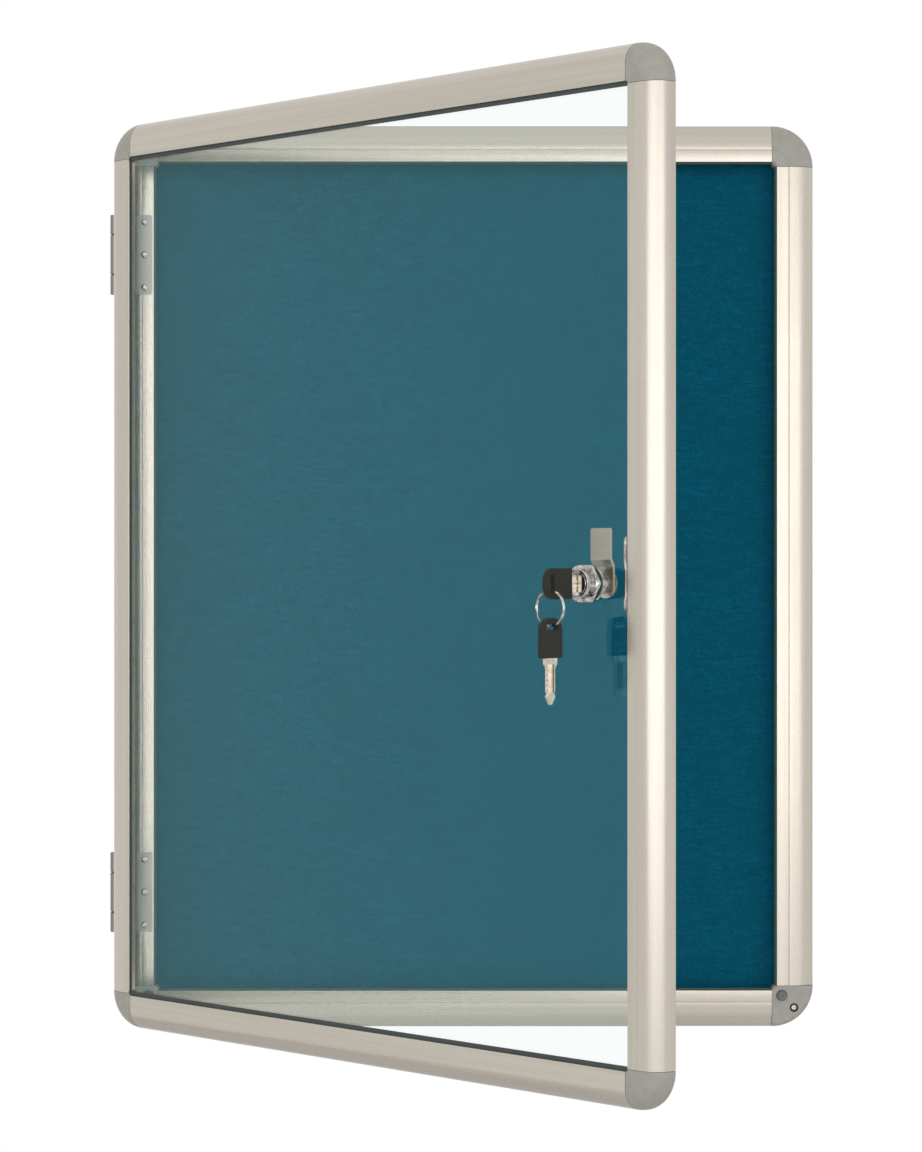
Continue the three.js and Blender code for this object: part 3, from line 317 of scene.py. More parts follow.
def eased(points, radius, steps=4, flattest=150):
    """The outline with its sharp corners rounded"""
    flat = [Vector(point) for point in points]
    out = []
    for index, here in enumerate(flat):
        back = flat[index - 1] - here
        on = flat[(index + 1) % len(flat)] - here
        angle = back.angle(on, math.pi)
        if angle > math.radians(flattest):
            out.append(here)
            continue
        reach = min(radius / math.tan(angle / 2), 0.45 * back.length, 0.45 * on.length)
        start = here + back.normalized() * reach
        end = here + on.normalized() * reach
        for step in range(steps + 1):
            t = step / steps
            out.append((1 - t) ** 2 * start + 2 * t * (1 - t) * here + t ** 2 * end)
    return [tuple(point) for point in out]


def quarter_steps(steps, first=0):
    """Angles of a quarter turn in equal steps"""
    return [QUARTER * step / steps for step in range(first, steps + 1)]


# Mesh makers. Each gives an object in its own drawing's axes.

def solid(name, points, faces):
    """An object from points and faces, its doubled points joined and its faces turned outward"""
    mesh = bpy.data.meshes.new(name)
    mesh.from_pydata(points, [], faces)
    work = bmesh.new()
    work.from_mesh(mesh)
    bmesh.ops.remove_doubles(work, verts=work.verts, dist=1e-7)
    bmesh.ops.recalc_face_normals(work, faces=work.faces)
    work.to_mesh(mesh)
    work.free()
    piece = bpy.data.objects.new(name, mesh)
    bpy.context.scene.collection.objects.link(piece)
    return piece


def layered(name, levels):
    """A solid through levels of a height and its loops: an outline and the holes in it"""
    points = [Vector((x, y, height)) for height, loops in levels for loop in loops for x, y in loop]
    count = sum(len(loop) for loop in levels[0][1])
    last = count * (len(levels) - 1)
    faces = []
    for loops, first in ((levels[0][1], 0), (levels[-1][1], last)):
        caps = tessellate_polygon([[Vector((x, y, 0)) for x, y in loop] for loop in loops])
        faces += [tuple(index + first for index in cap) for cap in caps]
    for level in range(len(levels) - 1):
        first = level * count
        for loop in levels[0][1]:
            size = len(loop)
            for index in range(size):
                here = first + index
                following = first + (index + 1) % size
                faces.append((here, following, following + count, here + count))
            first += size
    return solid(name, points, faces)


def extruded(name, loops, depth, start=0.0):
    """A prism along Z over an outline and the holes in it"""
    return layered(name, [(start, loops), (start + depth, loops)])


def turned(name, profile, steps=TURN_STEPS, sweep=2 * math.pi, flats=0.0):
    """A closed profile of radius and height turned about Z, and cut to six flats where flats are given"""
    whole = sweep > 2 * math.pi - 1e-6
    stations = steps if whole else steps + 1
    size = len(profile)
    points = []
    for station in range(stations):
        angle = sweep * station / steps
        limit = flats / 2 / math.cos(angle % (math.pi / 3) - math.pi / 6) if flats else math.inf
        for radius, height in profile:
            reach = min(radius, limit)
            points.append((reach * math.cos(angle), reach * math.sin(angle), height))
    sides = [i for i in range(size) if max(profile[i][0], profile[(i + 1) % size][0]) > 0]
    faces = []
    for station in range(steps):
        here = station * size
        on = ((station + 1) % stations) * size
        faces += [(here + i, here + (i + 1) % size, on + (i + 1) % size, on + i) for i in sides]
    if not whole:
        faces += [tuple(range(size)), tuple(range((stations - 1) * size, stations * size))]
    return solid(name, points, faces)


def box(name, low, high):
    """A block between two opposite corners"""
    (x0, y0, z0), (x1, y1, z1) = low, high
    return extruded(name, [[(x0, y0), (x1, y0), (x1, y1), (x0, y1)]], z1 - z0, z0)


def rod(name, diameter, start, end, steps=SMALL_TURN_STEPS):
    """A cylinder along Z"""
    return turned(name, [(0, start), (diameter / 2, start), (diameter / 2, end), (0, end)], steps)


def moved(piece, matrix):
    """Moves the mesh itself within the piece's own axes"""
    piece.data.transform(matrix)
    return piece


def settle(piece):
    """Applies the modifiers"""
    bpy.context.view_layer.update()
    graph = bpy.context.evaluated_depsgraph_get()
    finished = bpy.data.meshes.new_from_object(piece.evaluated_get(graph))
    piece.modifiers.clear()
    old = piece.data
    piece.data = finished
    bpy.data.meshes.remove(old)
    return piece


def carve(piece, *tools, operation="DIFFERENCE"):
    """Cuts the tools from a piece, or joins them to it, and removes them"""
    for tool in tools:
        change = piece.modifiers.new("carve", "BOOLEAN")
        change.operation = operation
        change.solver = "EXACT"
        change.object = tool
    settle(piece)
    for tool in tools:
        mesh = tool.data
        bpy.data.objects.remove(tool)
        bpy.data.meshes.remove(mesh)
    if not piece.data.polygons:
        raise RuntimeError(f"{piece.name} lost all its faces")
    return piece


def joined(piece, *others):
    return carve(piece, *others, operation="UNION")


def rounded(piece, width, segments=3, angle=35):
    """Rounds the sharp edges of a piece"""
    change = piece.modifiers.new("round", "BEVEL")
    change.width = width
    change.segments = segments
    change.limit_method = "ANGLE"
    change.angle_limit = math.radians(angle)
    return settle(piece)


def fit(piece, home, finish, body, slot, *nodes):
    """Puts a finished piece in its place, on its body and in place of its CAD nodes"""
    piece.matrix_world = home
    piece.data.materials.clear()
    piece.data.materials.append(bpy.data.materials[finish])
    for face in piece.data.polygons:
        face.use_smooth = True
    piece.data.set_sharp_from_angle(angle=SHARP_ANGLE)
    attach(piece, body)
    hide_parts(*nodes)
    return piece


def side_home(home, side, width, height):
    """Home of a side or corner of a rectangle around a home"""
    across, up, turns = (SIDES | CORNERS)[side]
    return home @ at(across * width / 2, 0, up * height / 2) @ spin(turns * QUARTER, "Y")


# Shader groups

class Wiring:
    """Adds nodes to one tree and joins them"""

    def __init__(self, tree):
        self.tree = tree
        self.count = 0

    def add(self, kind, inputs=None, **settings):
        node = self.tree.nodes.new(kind)
        node.location = (220 * (self.count % 8), -260 * (self.count // 8))
        self.count += 1
        for key, value in settings.items():
            setattr(node, key, value)
        for key, value in (inputs or {}).items():
            self.give(node.inputs[key], value)
        return node

    def give(self, socket, value):
        """Joins a socket to another one, or sets its value"""
        if isinstance(value, bpy.types.NodeSocket):
            self.tree.links.new(value, socket)
        else:
            socket.default_value = value

    def maths(self, operation, *values):
        return self.add("ShaderNodeMath", dict(enumerate(values)), operation=operation).outputs[0]

    def vector(self, operation, *values):
        node = self.add("ShaderNodeVectorMath", dict(enumerate(values)), operation=operation)
        return node.outputs["Value"] if operation in ("DOT_PRODUCT", "LENGTH") else node.outputs["Vector"]

    def ramp(self, value, low, high, to_low=0.0, to_high=1.0):
        inputs = {"Value": value, "From Min": low, "From Max": high, "To Min": to_low, "To Max": to_high}
        return self.add("ShaderNodeMapRange", inputs, clamp=True).outputs["Result"]

    def noise(self, where, scale, detail=2.0, roughness=0.5):
        inputs = {"Vector": where, "Scale": scale, "Detail": detail, "Roughness": roughness}
        return self.add("ShaderNodeTexNoise", inputs).outputs["Fac"]

    def blend(self, factor, first, second):
        """A mix of two colours"""
        node = self.add("ShaderNodeMix", data_type="RGBA")
        for index, value in ((0, factor), (6, first), (7, second)):
            self.give(node.inputs[index], value)
        return node.outputs[2]

    def place(self):
        return self.add("ShaderNodeTexCoord").outputs["Object"]

    def group(self, name, **inputs):
        node = self.add("ShaderNodeGroup", node_tree=bpy.data.node_groups[name])
        for key, value in inputs.items():
            self.give(node.inputs[key.capitalize()], value)
        return node.outputs

    def seen(self):
        """1 where the camera, metal or glass looks, 0 for light on matt surfaces"""
        path = self.add("ShaderNodeLightPath").outputs
        direct = self.maths("MAXIMUM", path["Is Camera Ray"], path["Is Transmission Ray"])
        return self.maths("MAXIMUM", direct, path["Is Glossy Ray"])


def new_group(name, inputs, outputs):
    """An empty shader group with its sockets. An input is a name and its value."""
    tree = bpy.data.node_groups.new(name, "ShaderNodeTree")
    for title, value in inputs:
        socket = tree.interface.new_socket(title, in_out="INPUT", socket_type="NodeSocketFloat")
        socket.default_value = value
    for title in outputs:
        tree.interface.new_socket(title, in_out="OUTPUT", socket_type="NodeSocketFloat")
    wires = Wiring(tree)
    return wires, wires.add("NodeGroupInput").outputs, wires.add("NodeGroupOutput").inputs


def drawn_lines_group():
    """Fine lines that an extrusion or a drawn strip carries along its length"""
    wires, given, out = new_group("Drawn lines", [("Fineness", 2600.0), ("Run", 0.012)], ["Lines", "Streaks"])
    stretch = wires.add("ShaderNodeCombineXYZ", {"X": 1.0, "Y": 1.0, "Z": given["Run"]}).outputs[0]
    where = wires.vector("MULTIPLY", wires.place(), stretch)
    fine = wires.noise(where, given["Fineness"], 3.0, 0.6)
    broad = wires.noise(where, wires.maths("MULTIPLY", given["Fineness"], 0.09), 2.0)
    wires.give(out["Lines"], wires.ramp(fine, 0.3, 0.7))
    wires.give(out["Streaks"], wires.ramp(broad, 0.32, 0.68))


def handling_group():
    """Patches where hands and cloths have been, and fine dust"""
    wires, given, out = new_group("Handling", [("Patches", 9.0), ("Grit", 900.0)], ["Smudge", "Dust"])
    where = wires.place()
    broad = wires.noise(where, given["Patches"], 4.0, 0.6)
    fine = wires.noise(where, given["Grit"], 1.0)
    wires.give(out["Smudge"], wires.ramp(broad, 0.35, 0.7))
    wires.give(out["Dust"], wires.ramp(fine, 0.62, 0.75))


def edges_and_creases_group():
    """Mask of the edges and creases, used for wear where a finish is rubbed thin, and on polished metal also for
    painted shade
    """
    wires, given, out = new_group("Edge wear", [("Radius", 0.0005), ("Breakup", 700.0)], ["Mask"])
    soft = wires.add("ShaderNodeBevel", {"Radius": given["Radius"]}, samples=4).outputs[0]
    plain = wires.add("ShaderNodeNewGeometry").outputs["Normal"]
    edge = wires.ramp(wires.vector("DOT_PRODUCT", soft, plain), 0.985, 0.86)
    broken = wires.ramp(wires.noise(wires.place(), given["Breakup"], 3.0), 0.3, 0.6)
    wires.give(out["Mask"], wires.maths("MULTIPLY", edge, broken))


def moulding_group():
    """The faint uneven skin of a moulded, cast or lacquered surface"""
    wires, given, out = new_group("Moulded skin", [("Grain", 1600.0), ("Waves", 120.0)], ["Height", "Tone"])
    where = wires.place()
    fine = wires.noise(where, given["Grain"], 3.0, 0.6)
    broad = wires.noise(where, given["Waves"], 2.0)
    wires.give(out["Height"], wires.maths("ADD", fine, wires.maths("MULTIPLY", broad, 0.8)))
    wires.give(out["Tone"], wires.ramp(broad, 0.3, 0.7))


def shade(value, by):
    """A colour for a socket, that many times as bright"""
    return tuple(min(1.0, part * by) for part in value) + (1.0,)


def new_material(name):
    """A material with one shader on its output"""
    material = bpy.data.materials.new(name)
    material.use_nodes = True
    material.node_tree.nodes.clear()
    wires = Wiring(material.node_tree)
    surface = wires.add("ShaderNodeBsdfPrincipled")
    wires.give(wires.add("ShaderNodeOutputMaterial").inputs["Surface"], surface.outputs[0])
    return wires, surface


def layers(wires, base, tone, *marks):
    """Lays shades of a tone over a base. A mark is its mask, its strength and how bright it is."""
    for mask, strength, bright in marks:
        base = wires.blend(wires.maths("MULTIPLY", mask, strength), base, shade(tone, bright))
    return base


def feed(wires, surface, tone, roughness, height=None, strength=0.2, distance=0.0001, **values):
    """Joins tone, roughness and bump to a surface, and sets what is the same all over it"""
    wires.give(surface.inputs["Base Color"], tone)
    wires.give(surface.inputs["Roughness"], roughness)
    if height is not None:
        bump = wires.add("ShaderNodeBump", {"Height": height, "Strength": strength, "Distance": distance})
        wires.give(surface.inputs["Normal"], bump.outputs[0])
    for name, value in values.items():
        surface.inputs[name.replace("_", " ")].default_value = value


def drawn_metal(name, tone, rough, contrast=0.1, fineness=2600.0, run=0.012, wear=0.0004, metallic=1.0):
    """Anodised or plated metal with lines along its length"""
    wires, surface = new_material(name)
    lines = wires.group("Drawn lines", fineness=fineness, run=run)
    touch = wires.group("Handling", patches=11.0, grit=1400.0)
    worn = wires.group("Edge wear", radius=wear, breakup=900.0)
    base = wires.blend(lines["Streaks"], shade(tone, 1 - contrast / 2), shade(tone, 1 + contrast / 2))
    base = layers(wires, base, tone, (touch["Dust"], 0.1, 0.6), (worn["Mask"], 0.5, 1.3))
    roughness = wires.ramp(lines["Lines"], 0.0, 1.0, rough * 0.88, rough * 1.1)
    roughness = wires.maths("ADD", roughness, wires.maths("MULTIPLY", touch["Smudge"], 0.06))
    feed(wires, surface, base, roughness, lines["Lines"], 0.12, 0.00006, Metallic=metallic)


def darken_knuckles_and_paint_gap_shade(tree, sizes):
    """Darkens a hinge steel on its knuckles around the pin, and paints shade into the gaps where one knuckle's end
    meets the next
    """
    wires = Wiring(tree)
    base = tree.nodes["Principled BSDF"].inputs["Base Color"]
    clean = base.links[0].from_socket
    axes = wires.add("ShaderNodeSeparateXYZ", {0: wires.place()}).outputs
    flat = wires.add("ShaderNodeCombineXYZ", {"X": axes["X"], "Y": axes["Y"]}).outputs[0]
    tube = wires.ramp(wires.vector("LENGTH", flat), 0.62 * sizes.knuckle, 0.5 * sizes.knuckle)
    joint = sizes.height * (0.5 - sizes.end_share)
    away = wires.maths("ABSOLUTE", wires.maths("SUBTRACT", wires.maths("ABSOLUTE", axes["Z"]), joint))
    # Painted shade: the steel goes almost black in the gap between one knuckle's end and the next
    gap_shade = wires.maths("MULTIPLY", tube, wires.ramp(away, 1.5 * sizes.knuckle_gap, 1.0 * sizes.knuckle_gap))
    dark = wires.maths("MAXIMUM", wires.maths("MULTIPLY", tube, 0.4), wires.maths("MULTIPLY", gap_shade, 0.93))
    wires.give(base, wires.blend(dark, clean, KNUCKLE_DARK_AND_GAP_SHADE))


def polished_metal(name, tone, rough, rim=0.0, painted_reflection_patches=0.05):
    """Bright plating: light and dark patches as painted reflection, edges darkened as wear and as painted shade, and
    painted shade on the rim around an axis along Z
    """
    wires, surface = new_material(name)
    skin = wires.group("Moulded skin", grain=2400.0, waves=260.0)
    touch = wires.group("Handling", patches=60.0, grit=2200.0)
    worn = wires.group("Edge wear", radius=0.0003, breakup=1800.0)
    # Painted reflection: light and dark patches stand in for the bright and dark surroundings that the plating mirrors
    base = wires.blend(skin["Tone"], shade(tone, 1 - painted_reflection_patches), shade(tone, 1 + painted_reflection_patches))
    # Edges and creases go dark: partly dulled plating, partly painted shade
    base = layers(wires, base, tone, (worn["Mask"], 0.7, 0.4))
    # Painted shade: a dark ring where a head's sides turn away from its axis, standing in for the shadow around a
    # screw head
    facing = wires.add("ShaderNodeSeparateXYZ", {0: wires.add("ShaderNodeTexCoord").outputs["Normal"]}).outputs["Z"]
    base = wires.blend(wires.ramp(wires.maths("ABSOLUTE", facing), 0.8, 0.35, 0.0, rim), base, shade(tone, 0.12))
    roughness = wires.ramp(touch["Smudge"], 0.0, 1.0, rough, rough + 0.09)
    feed(wires, surface, base, roughness, skin["Height"], 0.06, 0.00005, Metallic=1.0)


def coated(name, tone, rough, worn_tone, grain=1600.0, bump=0.16, wear=0.0006, shine=0.5):
    """Lacquer, rubber or moulded plastic, its tone that many times as bright where it is worn"""
    wires, surface = new_material(name)
    skin = wires.group("Moulded skin", grain=grain, waves=140.0)
    touch = wires.group("Handling", patches=35.0, grit=1500.0)
    worn = wires.group("Edge wear", radius=wear, breakup=800.0)
    base = wires.blend(skin["Tone"], shade(tone, 0.93), shade(tone, 1.07))
    base = layers(wires, base, tone, (touch["Dust"], 0.16, 1.5), (worn["Mask"], 0.55, worn_tone))
    roughness = wires.ramp(touch["Smudge"], 0.0, 1.0, rough - 0.04, rough + 0.08)
    feed(wires, surface, base, roughness, skin["Height"], bump, 0.00012, Specular_IOR_Level=shine)


def felt_material(tone, light):
    """Pressed felt: tangled fibres, lighter loose ones and a slight nap"""
    wires, surface = new_material("Pressed felt")
    where = wires.place()
    bend = wires.add("ShaderNodeTexNoise", {"Vector": where, "Scale": 900.0, "Detail": 2.0}).outputs["Color"]
    bend = wires.vector("SCALE", wires.vector("SUBTRACT", bend, (0.5, 0.5, 0.5)))
    bend.node.inputs["Scale"].default_value = FIBRE_BEND
    tangled = wires.vector("ADD", where, bend)
    heights = []
    for turn in (0.4, 1.5, 2.6):
        inputs = {"Vector": tangled, "Rotation": (0.0, turn, 0.0), "Scale": (2600.0, 2600.0, 260.0)}
        laid = wires.add("ShaderNodeMapping", inputs).outputs[0]
        heights.append(wires.ramp(wires.noise(laid, 1.0, 1.0), 0.5, 0.78))
    fibres = wires.maths("MAXIMUM", wires.maths("MAXIMUM", heights[0], heights[1]), heights[2])
    clouds = wires.noise(where, 26.0, 4.0, 0.65)
    flat = wires.add("ShaderNodeMapping", {"Vector": tangled, "Scale": (70.0, 70.0, 620.0)}).outputs[0]
    rows = wires.noise(flat, 1.0, 2.0, 0.6)
    tufts = wires.noise(where, 420.0, 3.0, 0.7)
    base = wires.blend(wires.ramp(clouds, 0.3, 0.7), shade(tone, 1.03), shade(tone, 1.25))
    base = wires.blend(wires.ramp(tufts, 0.38, 0.62, 0.0, 0.9), base, shade(tone, 0.74))
    base = wires.blend(wires.ramp(rows, 0.4, 0.62, 0.0, 0.9), base, shade(tone, 0.76))
    base = wires.blend(wires.maths("MULTIPLY", fibres, 0.4), base, light + (1.0,))
    height = wires.maths("ADD", wires.maths("MULTIPLY", fibres, 0.6), tufts)
    feed(wires, surface, base, wires.ramp(tufts, 0.2, 0.8, 0.86, 1.0), height, 0.35, 0.0004,
         Specular_IOR_Level=0.12, Sheen_Weight=0.06, Sheen_Roughness=0.45, Sheen_Tint=light + (1.0,))


def glass_material(tone):
    """Clear glass with faint wiping marks. Light for matt surfaces passes straight through."""
    wires, surface = new_material("Door glass")
    touch = wires.group("Handling", patches=14.0, grit=700.0)
    base = layers(wires, tone + (1.0,), tone, (touch["Dust"], 0.08, 0.8))
    roughness = wires.ramp(touch["Smudge"], 0.0, 1.0, 0.0, 0.008)
    feed(wires, surface, base, roughness, Transmission_Weight=1.0, IOR=1.42, Specular_Tint=GLASS_SHEEN)
    path = wires.add("ShaderNodeLightPath").outputs
    through = wires.add("ShaderNodeBsdfTransparent", {"Color": tone + (1.0,)}).outputs[0]
    straight = wires.maths("MAXIMUM", path["Is Shadow Ray"], path["Is Diffuse Ray"])
    mixed = wires.add("ShaderNodeMixShader", {0: straight, 1: surface.outputs[0], 2: through}).outputs[0]
    wires.give(wires.tree.nodes["Material Output"].inputs["Surface"], mixed)


def sheet_material(tone):
    """Zinc-coated sheet with its spangle"""
    wires, surface = new_material("Zinc sheet")
    touch = wires.group("Handling", patches=6.0, grit=1100.0)
    spangle = wires.add("ShaderNodeTexVoronoi", {"Vector": wires.place(), "Scale": 110.0}).outputs["Color"]
    tint = wires.add("ShaderNodeSeparateColor", {0: spangle}).outputs[0]
    base = wires.blend(tint, shade(tone, 0.85), shade(tone, 1.15))
    base = layers(wires, base, tone, (touch["Smudge"], 0.25, 0.7))
    roughness = wires.ramp(tint, 0.0, 1.0, 0.38, 0.52)
    feed(wires, surface, base, roughness, tint, 0.05, 0.0001, Metallic=0.8)


def board_material(tone):
    """Soft fibre board"""
    wires, surface = new_material("Fibre board")
    skin = wires.group("Moulded skin", grain=700.0, waves=90.0)
    base = wires.blend(skin["Tone"], shade(tone, 0.8), shade(tone, 1.15))
    feed(wires, surface, base, wires.ramp(skin["Tone"], 0.0, 1.0, 0.85, 0.98), skin["Height"], 0.6, 0.0004)


class BOARD_OT_finishes(bpy.types.Operator):
    """Makes the materials and gives them to the CAD nodes that stay"""
    bl_idname = "noticeboard.finishes"
    bl_label = "Finishes"

    def execute(self, context):
        tones = {name: tuple(getattr(context.scene.board_finishes, name)) for name in Finishes.__annotations__}
        for group in (drawn_lines_group, handling_group, edges_and_creases_group, moulding_group):
            group()
        felt_material(tones["felt"], tones["felt_light"])
        board_material(tones["board"])
        sheet_material(tones["sheet"])
        glass_material(tones["glass"])
        # Painted shade: a dark material for the bevel faces of the frame sections
        coated("Bevelled edge", tones["bevel"], rough=0.5, worn_tone=1.6, shine=0.25)
        coated("Corner lacquer", tones["corner"], rough=0.42, worn_tone=1.35)
        coated("Dark rubber", tones["rubber"], rough=0.72, worn_tone=2, grain=900.0, bump=0.3)
        coated("Grey rubber", tones["buffer"], rough=0.6, worn_tone=1.5, grain=900.0, bump=0.3)
        coated("Key grip", tones["grip"], rough=0.5, worn_tone=2.2, grain=2600.0, bump=0.25, wear=0.0004, shine=0.22)
        drawn_metal("Anodised aluminium", tones["aluminium"], rough=0.26, wear=0.0005, metallic=0.8)
        drawn_metal("Hinge pin", tones["pin"], rough=0.35, fineness=1800.0, run=0.03)
        drawn_metal("Hinge steel", tones["steel"], rough=0.36, contrast=0.16, fineness=1800.0, run=0.03)
        drawn_metal("Cam steel", tones["cam"], rough=0.3, contrast=0.14, fineness=1500.0, run=0.05)
        drawn_metal("Nickelled blade", tones["brass"], rough=0.24, contrast=0.14, fineness=3200.0, run=0.04,
                    wear=0.0003)
        polished_metal("Plated screw", tones["plated"], rough=0.2, rim=0.9)
        polished_metal("Chrome", tones["chrome"], rough=0.07, painted_reflection_patches=0.6)
        darken_knuckles_and_paint_gap_shade(bpy.data.materials["Hinge steel"].node_tree, context.scene.board_hinges)
        kept = {"back_sheet": "Zinc sheet", "pin_board": "Fibre board", "glass_pane": "Door glass",
                "glazing_gasket": "Dark rubber"}
        for node, name in kept.items():
            for entry in frame["nodes"][node].material_slots:
                entry.material = bpy.data.materials[name]
        return {"FINISHED"}


# Sections, corner pieces and screws

def frame_extent():
    """Width and height of the back frame, from its own pieces"""
    stile_low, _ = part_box("frame_stile_left")
    _, rail_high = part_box("frame_rail_top")
    return -2 * stile_low.x, 2 * rail_high.z


def screw_heights():
    """Heights of the hinge screws, seen from the left side's own turn, where its top lies at its end"""
    hinge = bpy.context.scene.board_hinges
    _, height = frame_extent()
    middles = [height / 2 - hinge.top_inset, -height / 2 + hinge.bottom_inset]
    return [-(middle + row * hinge.spread) for middle in middles for row in (-1, 0, 1)]


def sections(body, nodes, loops, extent, corner, home, column, start, end):
    """The four extruded sections of a body, the left one bored from start to end for the hinge screws"""
    bore = bpy.context.scene.board_hinges.head / 2 + 2 * CLEARANCE
    pieces = []
    for side, node in zip(SIDES, nodes):
        whole = extent[0 if side in ("top", "bottom") else 1] - 2 * (corner + CLEARANCE)
        piece = extruded(f"{body}_section_{side}", loops, whole)
        if side == "left":
            places = [at(column, 0, whole / 2 + rise) @ REARWARD_TURN for rise in screw_heights()]
            carve(piece, *[moved(rod("bore", bore, start, end), place) for place in places])
        place = side_home(home, side, *extent) @ at(whole / 2, 0, 0) @ RAIL_TURN
        pieces.append(fit(piece, place, "Anodised aluminium", body, "aluminium_section", node))
    return pieces


def corner_piece(name, sizes, outline, inward, rear, front):
    """A quarter turn of an outline, with two legs for the chambers and a pocket for what the sections hold"""
    size = sizes.corner
    piece = turned(name, [(size - inner, forward) for inner, forward in outline], CORNER_STEPS, QUARTER)
    moved(piece, at(-size, 0, -size) @ FORWARD_TURN)
    low = sizes.wall + CLEARANCE
    high = low + sizes.leg_height
    near_side, far_side = inward
    far, near = -size - sizes.leg_length, -size + OVERRUN
    along = box("leg", (far, -high, -far_side), (near, -low, -near_side))
    down = box("leg", (-far_side, -high, far), (-near_side, -low, near))
    joined(piece, along, down)
    reach = size + OVERRUN
    return carve(piece, box("pocket", (-reach, -front, -reach), (-sizes.web, -rear, -sizes.web)))


def recess(piece, arm, slit, low, high, turn=0.0):
    """Cuts a cross recess into a head along Z"""
    return carve(piece, *[
        moved(box("recess", (-arm, -slit, low), (arm, slit, high)), spin(turn + more)) for more in (0, QUARTER)])


def domed_screw(name, head, reach, dome):
    """A round-headed screw along Z with a cross recess, the underside of its head at zero"""
    radius = head / 2
    shank = radius / 2
    crown = [(radius * math.cos(angle), dome * math.sin(angle)) for angle in quarter_steps(10, 1)]
    rim = 0.08 * dome
    profile = [(0, -reach), (shank * 0.4, -reach), (shank, -reach + shank), (shank, 0), (radius - rim, 0),
               (radius, rim), *[(x, max(y, 1.5 * rim)) for x, y in crown]]
    piece = turned(name, profile, SMALL_TURN_STEPS)
    arm, slit, deep = 0.62 * radius, 0.16 * radius, 0.25 * dome
    recess(piece, arm, slit, deep, dome + OVERRUN)
    return rounded(piece, 0.035 * head, 2, 40)


# Back frame

def frame_arc(sizes, radius, inset):
    """The curved face of the frame, or the chamber's wall behind it"""
    centre = sizes.depth - frame_radius(sizes)
    start = QUARTER + math.asin((sizes.convex_width - inset) / radius)
    return arc(sizes.convex_width, centre, radius, start, QUARTER)


def frame_radius(sizes):
    """Radius of the curved face, from its width and its rise"""
    drop = sizes.depth - sizes.side_height
    return (sizes.convex_width ** 2 + drop ** 2) / (2 * drop)


def frame_section(sizes):
    """Outline and chamber of the frame's section, inward and forward"""
    inner = sizes.ledge_edge + sizes.bevel
    ledge_rear = sizes.depth - sizes.ledge
    lip_end = sizes.web + sizes.lip_width
    groove = sizes.depth - sizes.groove_depth
    groove_end = sizes.convex_width + sizes.groove_width
    outline = [
        (0, 0), *frame_arc(sizes, frame_radius(sizes), 0), (sizes.convex_width, groove), (groove_end, groove),
        (groove_end, sizes.depth), (sizes.ledge_edge, sizes.depth), (inner, sizes.depth - sizes.bevel),
        (inner, ledge_rear - sizes.edge_round), (sizes.web, ledge_rear - sizes.edge_round),
        (sizes.web, sizes.board_lip + sizes.lip), (lip_end, sizes.board_lip + sizes.lip),
        (lip_end, sizes.board_lip), (sizes.web, sizes.board_lip), (sizes.web, sizes.lip), (lip_end, sizes.lip),
        (lip_end, 0),
    ]
    web_inner = sizes.web - sizes.wall
    chamber = [
        (sizes.wall, sizes.wall),
        *frame_arc(sizes, frame_radius(sizes) - sizes.wall - sizes.groove_depth, sizes.wall),
        (web_inner, groove - sizes.wall), (web_inner, sizes.wall),
    ]
    return [eased(outline, sizes.edge_round), chamber]


def upper_outline(sizes):
    """Outline of the upper corner pieces, with their ridge"""
    inner = sizes.ledge_edge + sizes.bevel
    ridge_end = sizes.convex_width + sizes.groove_width
    top = sizes.depth + sizes.ridge
    return eased([
        (0, 0), *frame_arc(sizes, frame_radius(sizes), 0), (sizes.convex_width, top), (ridge_end, top),
        (ridge_end, sizes.depth), (sizes.ledge_edge, sizes.depth), (inner, sizes.depth - sizes.bevel), (inner, 0),
    ], sizes.edge_round / 2)


def lower_outline(sizes):
    """Outline of the flat lower corner pieces"""
    face = sizes.depth - sizes.flat_drop
    inner = sizes.ledge_edge + sizes.bevel
    return eased([
        (0, 0), *arc(sizes.flat_round, face - sizes.flat_round, sizes.flat_round, math.pi, QUARTER),
        (sizes.ledge_edge, face), (inner, face - sizes.bevel), (inner, 0),
    ], sizes.edge_round)


class BOARD_OT_frame_sections(bpy.types.Operator):
    """Makes the four extruded sections of the back frame"""
    bl_idname = "noticeboard.frame_sections"
    bl_label = "Frame Sections"

    def execute(self, context):
        sizes, hinge = context.scene.board_frame, context.scene.board_hinges
        nodes = ("frame_rail_top", "frame_stile_right", "frame_rail_bottom", "frame_stile_left")
        pieces = sections(
            "frame", nodes, frame_section(sizes), frame_extent(), sizes.corner, Matrix(),
            hinge.frame_column, sizes.wall, sizes.depth + OVERRUN)
        for piece in pieces:
            piece.data.materials.append(bpy.data.materials["Bevelled edge"])
            for face in piece.data.polygons:
                # The bevel is what slopes forward inside the ledge's edge; it takes the dark material, painted shade
                # along the felt
                if face.center.x > sizes.ledge_edge and 0.3 < face.normal.y < 0.95:
                    face.material_index = 1
        return {"FINISHED"}


